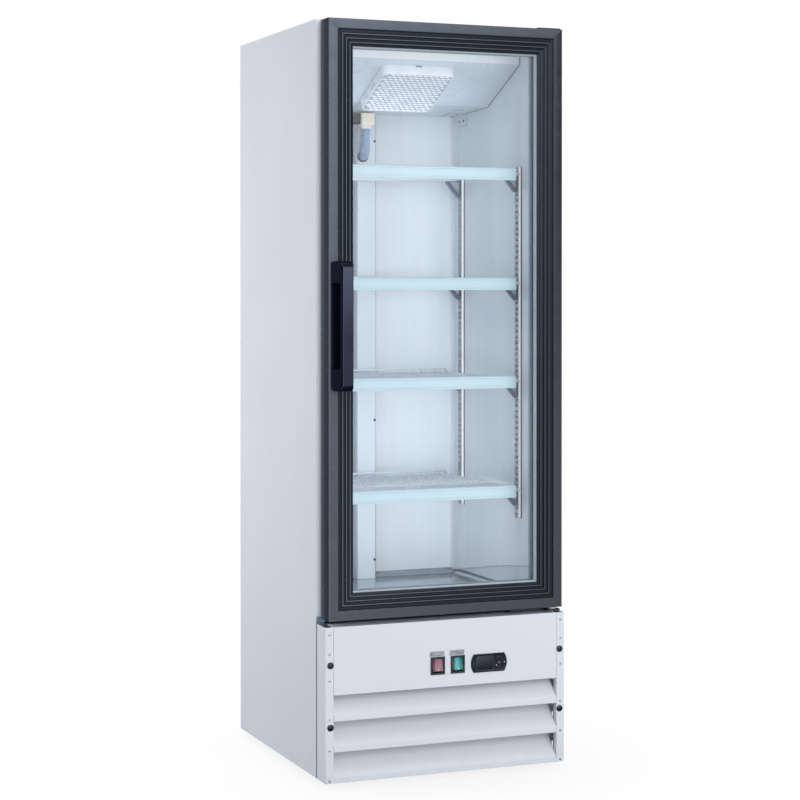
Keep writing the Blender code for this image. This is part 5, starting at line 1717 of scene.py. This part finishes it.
# ---------------------------------------------------------------- lights
def area(name, location, target, size, power, colour, size_y=None, spread=180):
    """An area light hidden from the camera and from reflections; spread in degrees."""
    light = bpy.data.lights.new(name, "AREA")
    light.spread = math.radians(spread)
    light.energy = power
    light.color = colour
    light.size = size
    if size_y:
        light.shape = "RECTANGLE"
        light.size_y = size_y
    obj = bpy.data.objects.new(name, light)
    scene.collection.objects.link(obj)
    obj.location = location
    aim = Vector(target) - Vector(location)
    obj.rotation_euler = aim.to_track_quat("-Z", "Y").to_euler()
    obj.visible_camera = False
    obj.visible_glossy = False


NEUTRAL, COOL = (0.98, 0.99, 1.0), (0.975, 0.984, 1.0)
area("key_front", (0.4, -4.2, 1.9), (0, 0, 0.7), size=2.4, power=57, colour=(0.985, 0.99, 1.0))
area("fill_low", (0.3, -2.6, 0.28), (0, -0.3, 0.2), size=1.6, size_y=0.5, power=16,
     colour=(0.96, 0.98, 1.0))
area("side_left", (-2.4, 0.85, 1.05), (-0.27, 0.1, 0.90), size=1.2, power=41, colour=NEUTRAL)
area("side_right", (2.6, 0.9, 1.1), (0.27, 0.1, 0.85), size=1.3, power=30, colour=NEUTRAL)
area("rear", (0.3, 3.4, 1.3), (0.0, 0.3, 0.8), size=1.6, power=42, colour=NEUTRAL)
# Soft light inside the cabinet.
area("cabinet_light_front", point(0, 63, 935), point(0, 400, 935), size=0.42, size_y=1.16,
     power=0.95, colour=COOL)
area("cabinet_light_deep", point(0, 112, 880), point(0, 400, 880), size=0.39, size_y=1.04,
     power=1.25, colour=(0.985, 0.988, 1.0), spread=110)
area("cabinet_light_low", point(0, 200, 565), point(0, 360, 400), size=0.36, size_y=0.2,
     power=0.14, colour=COOL)

# ---------------------------------------------------------------- camera
camera_data = bpy.data.cameras.new("camera")
camera = bpy.data.objects.new("camera", camera_data)
scene.collection.objects.link(camera)
camera_data.sensor_fit = "VERTICAL"
camera_data.sensor_height = 36.0
camera_data.sensor_width = 28.3
camera_data.lens = 91.6182
camera_data.shift_y = -0.123575
camera.location = point(-1697.7, -3917.6, 1024.5)
yaw, pitch = math.radians(22.09), math.radians(0.46)    # to the right, and down
forward = Vector((math.sin(yaw) * math.cos(pitch), math.cos(yaw) * math.cos(pitch),
                  -math.sin(pitch)))
camera.rotation_euler = forward.to_track_quat("-Z", "Y").to_euler()
scene.camera = camera

# Faintly glowing surfaces aren't sampled as lamps.
for name in ("lamp_opal", "lamp_lens_base", "red_indicator", "white_dot_painted_glow", "plated_standard",
             "casing_paint", "cover_paint"):
    MATERIALS[name].cycles.emission_sampling = "NONE"
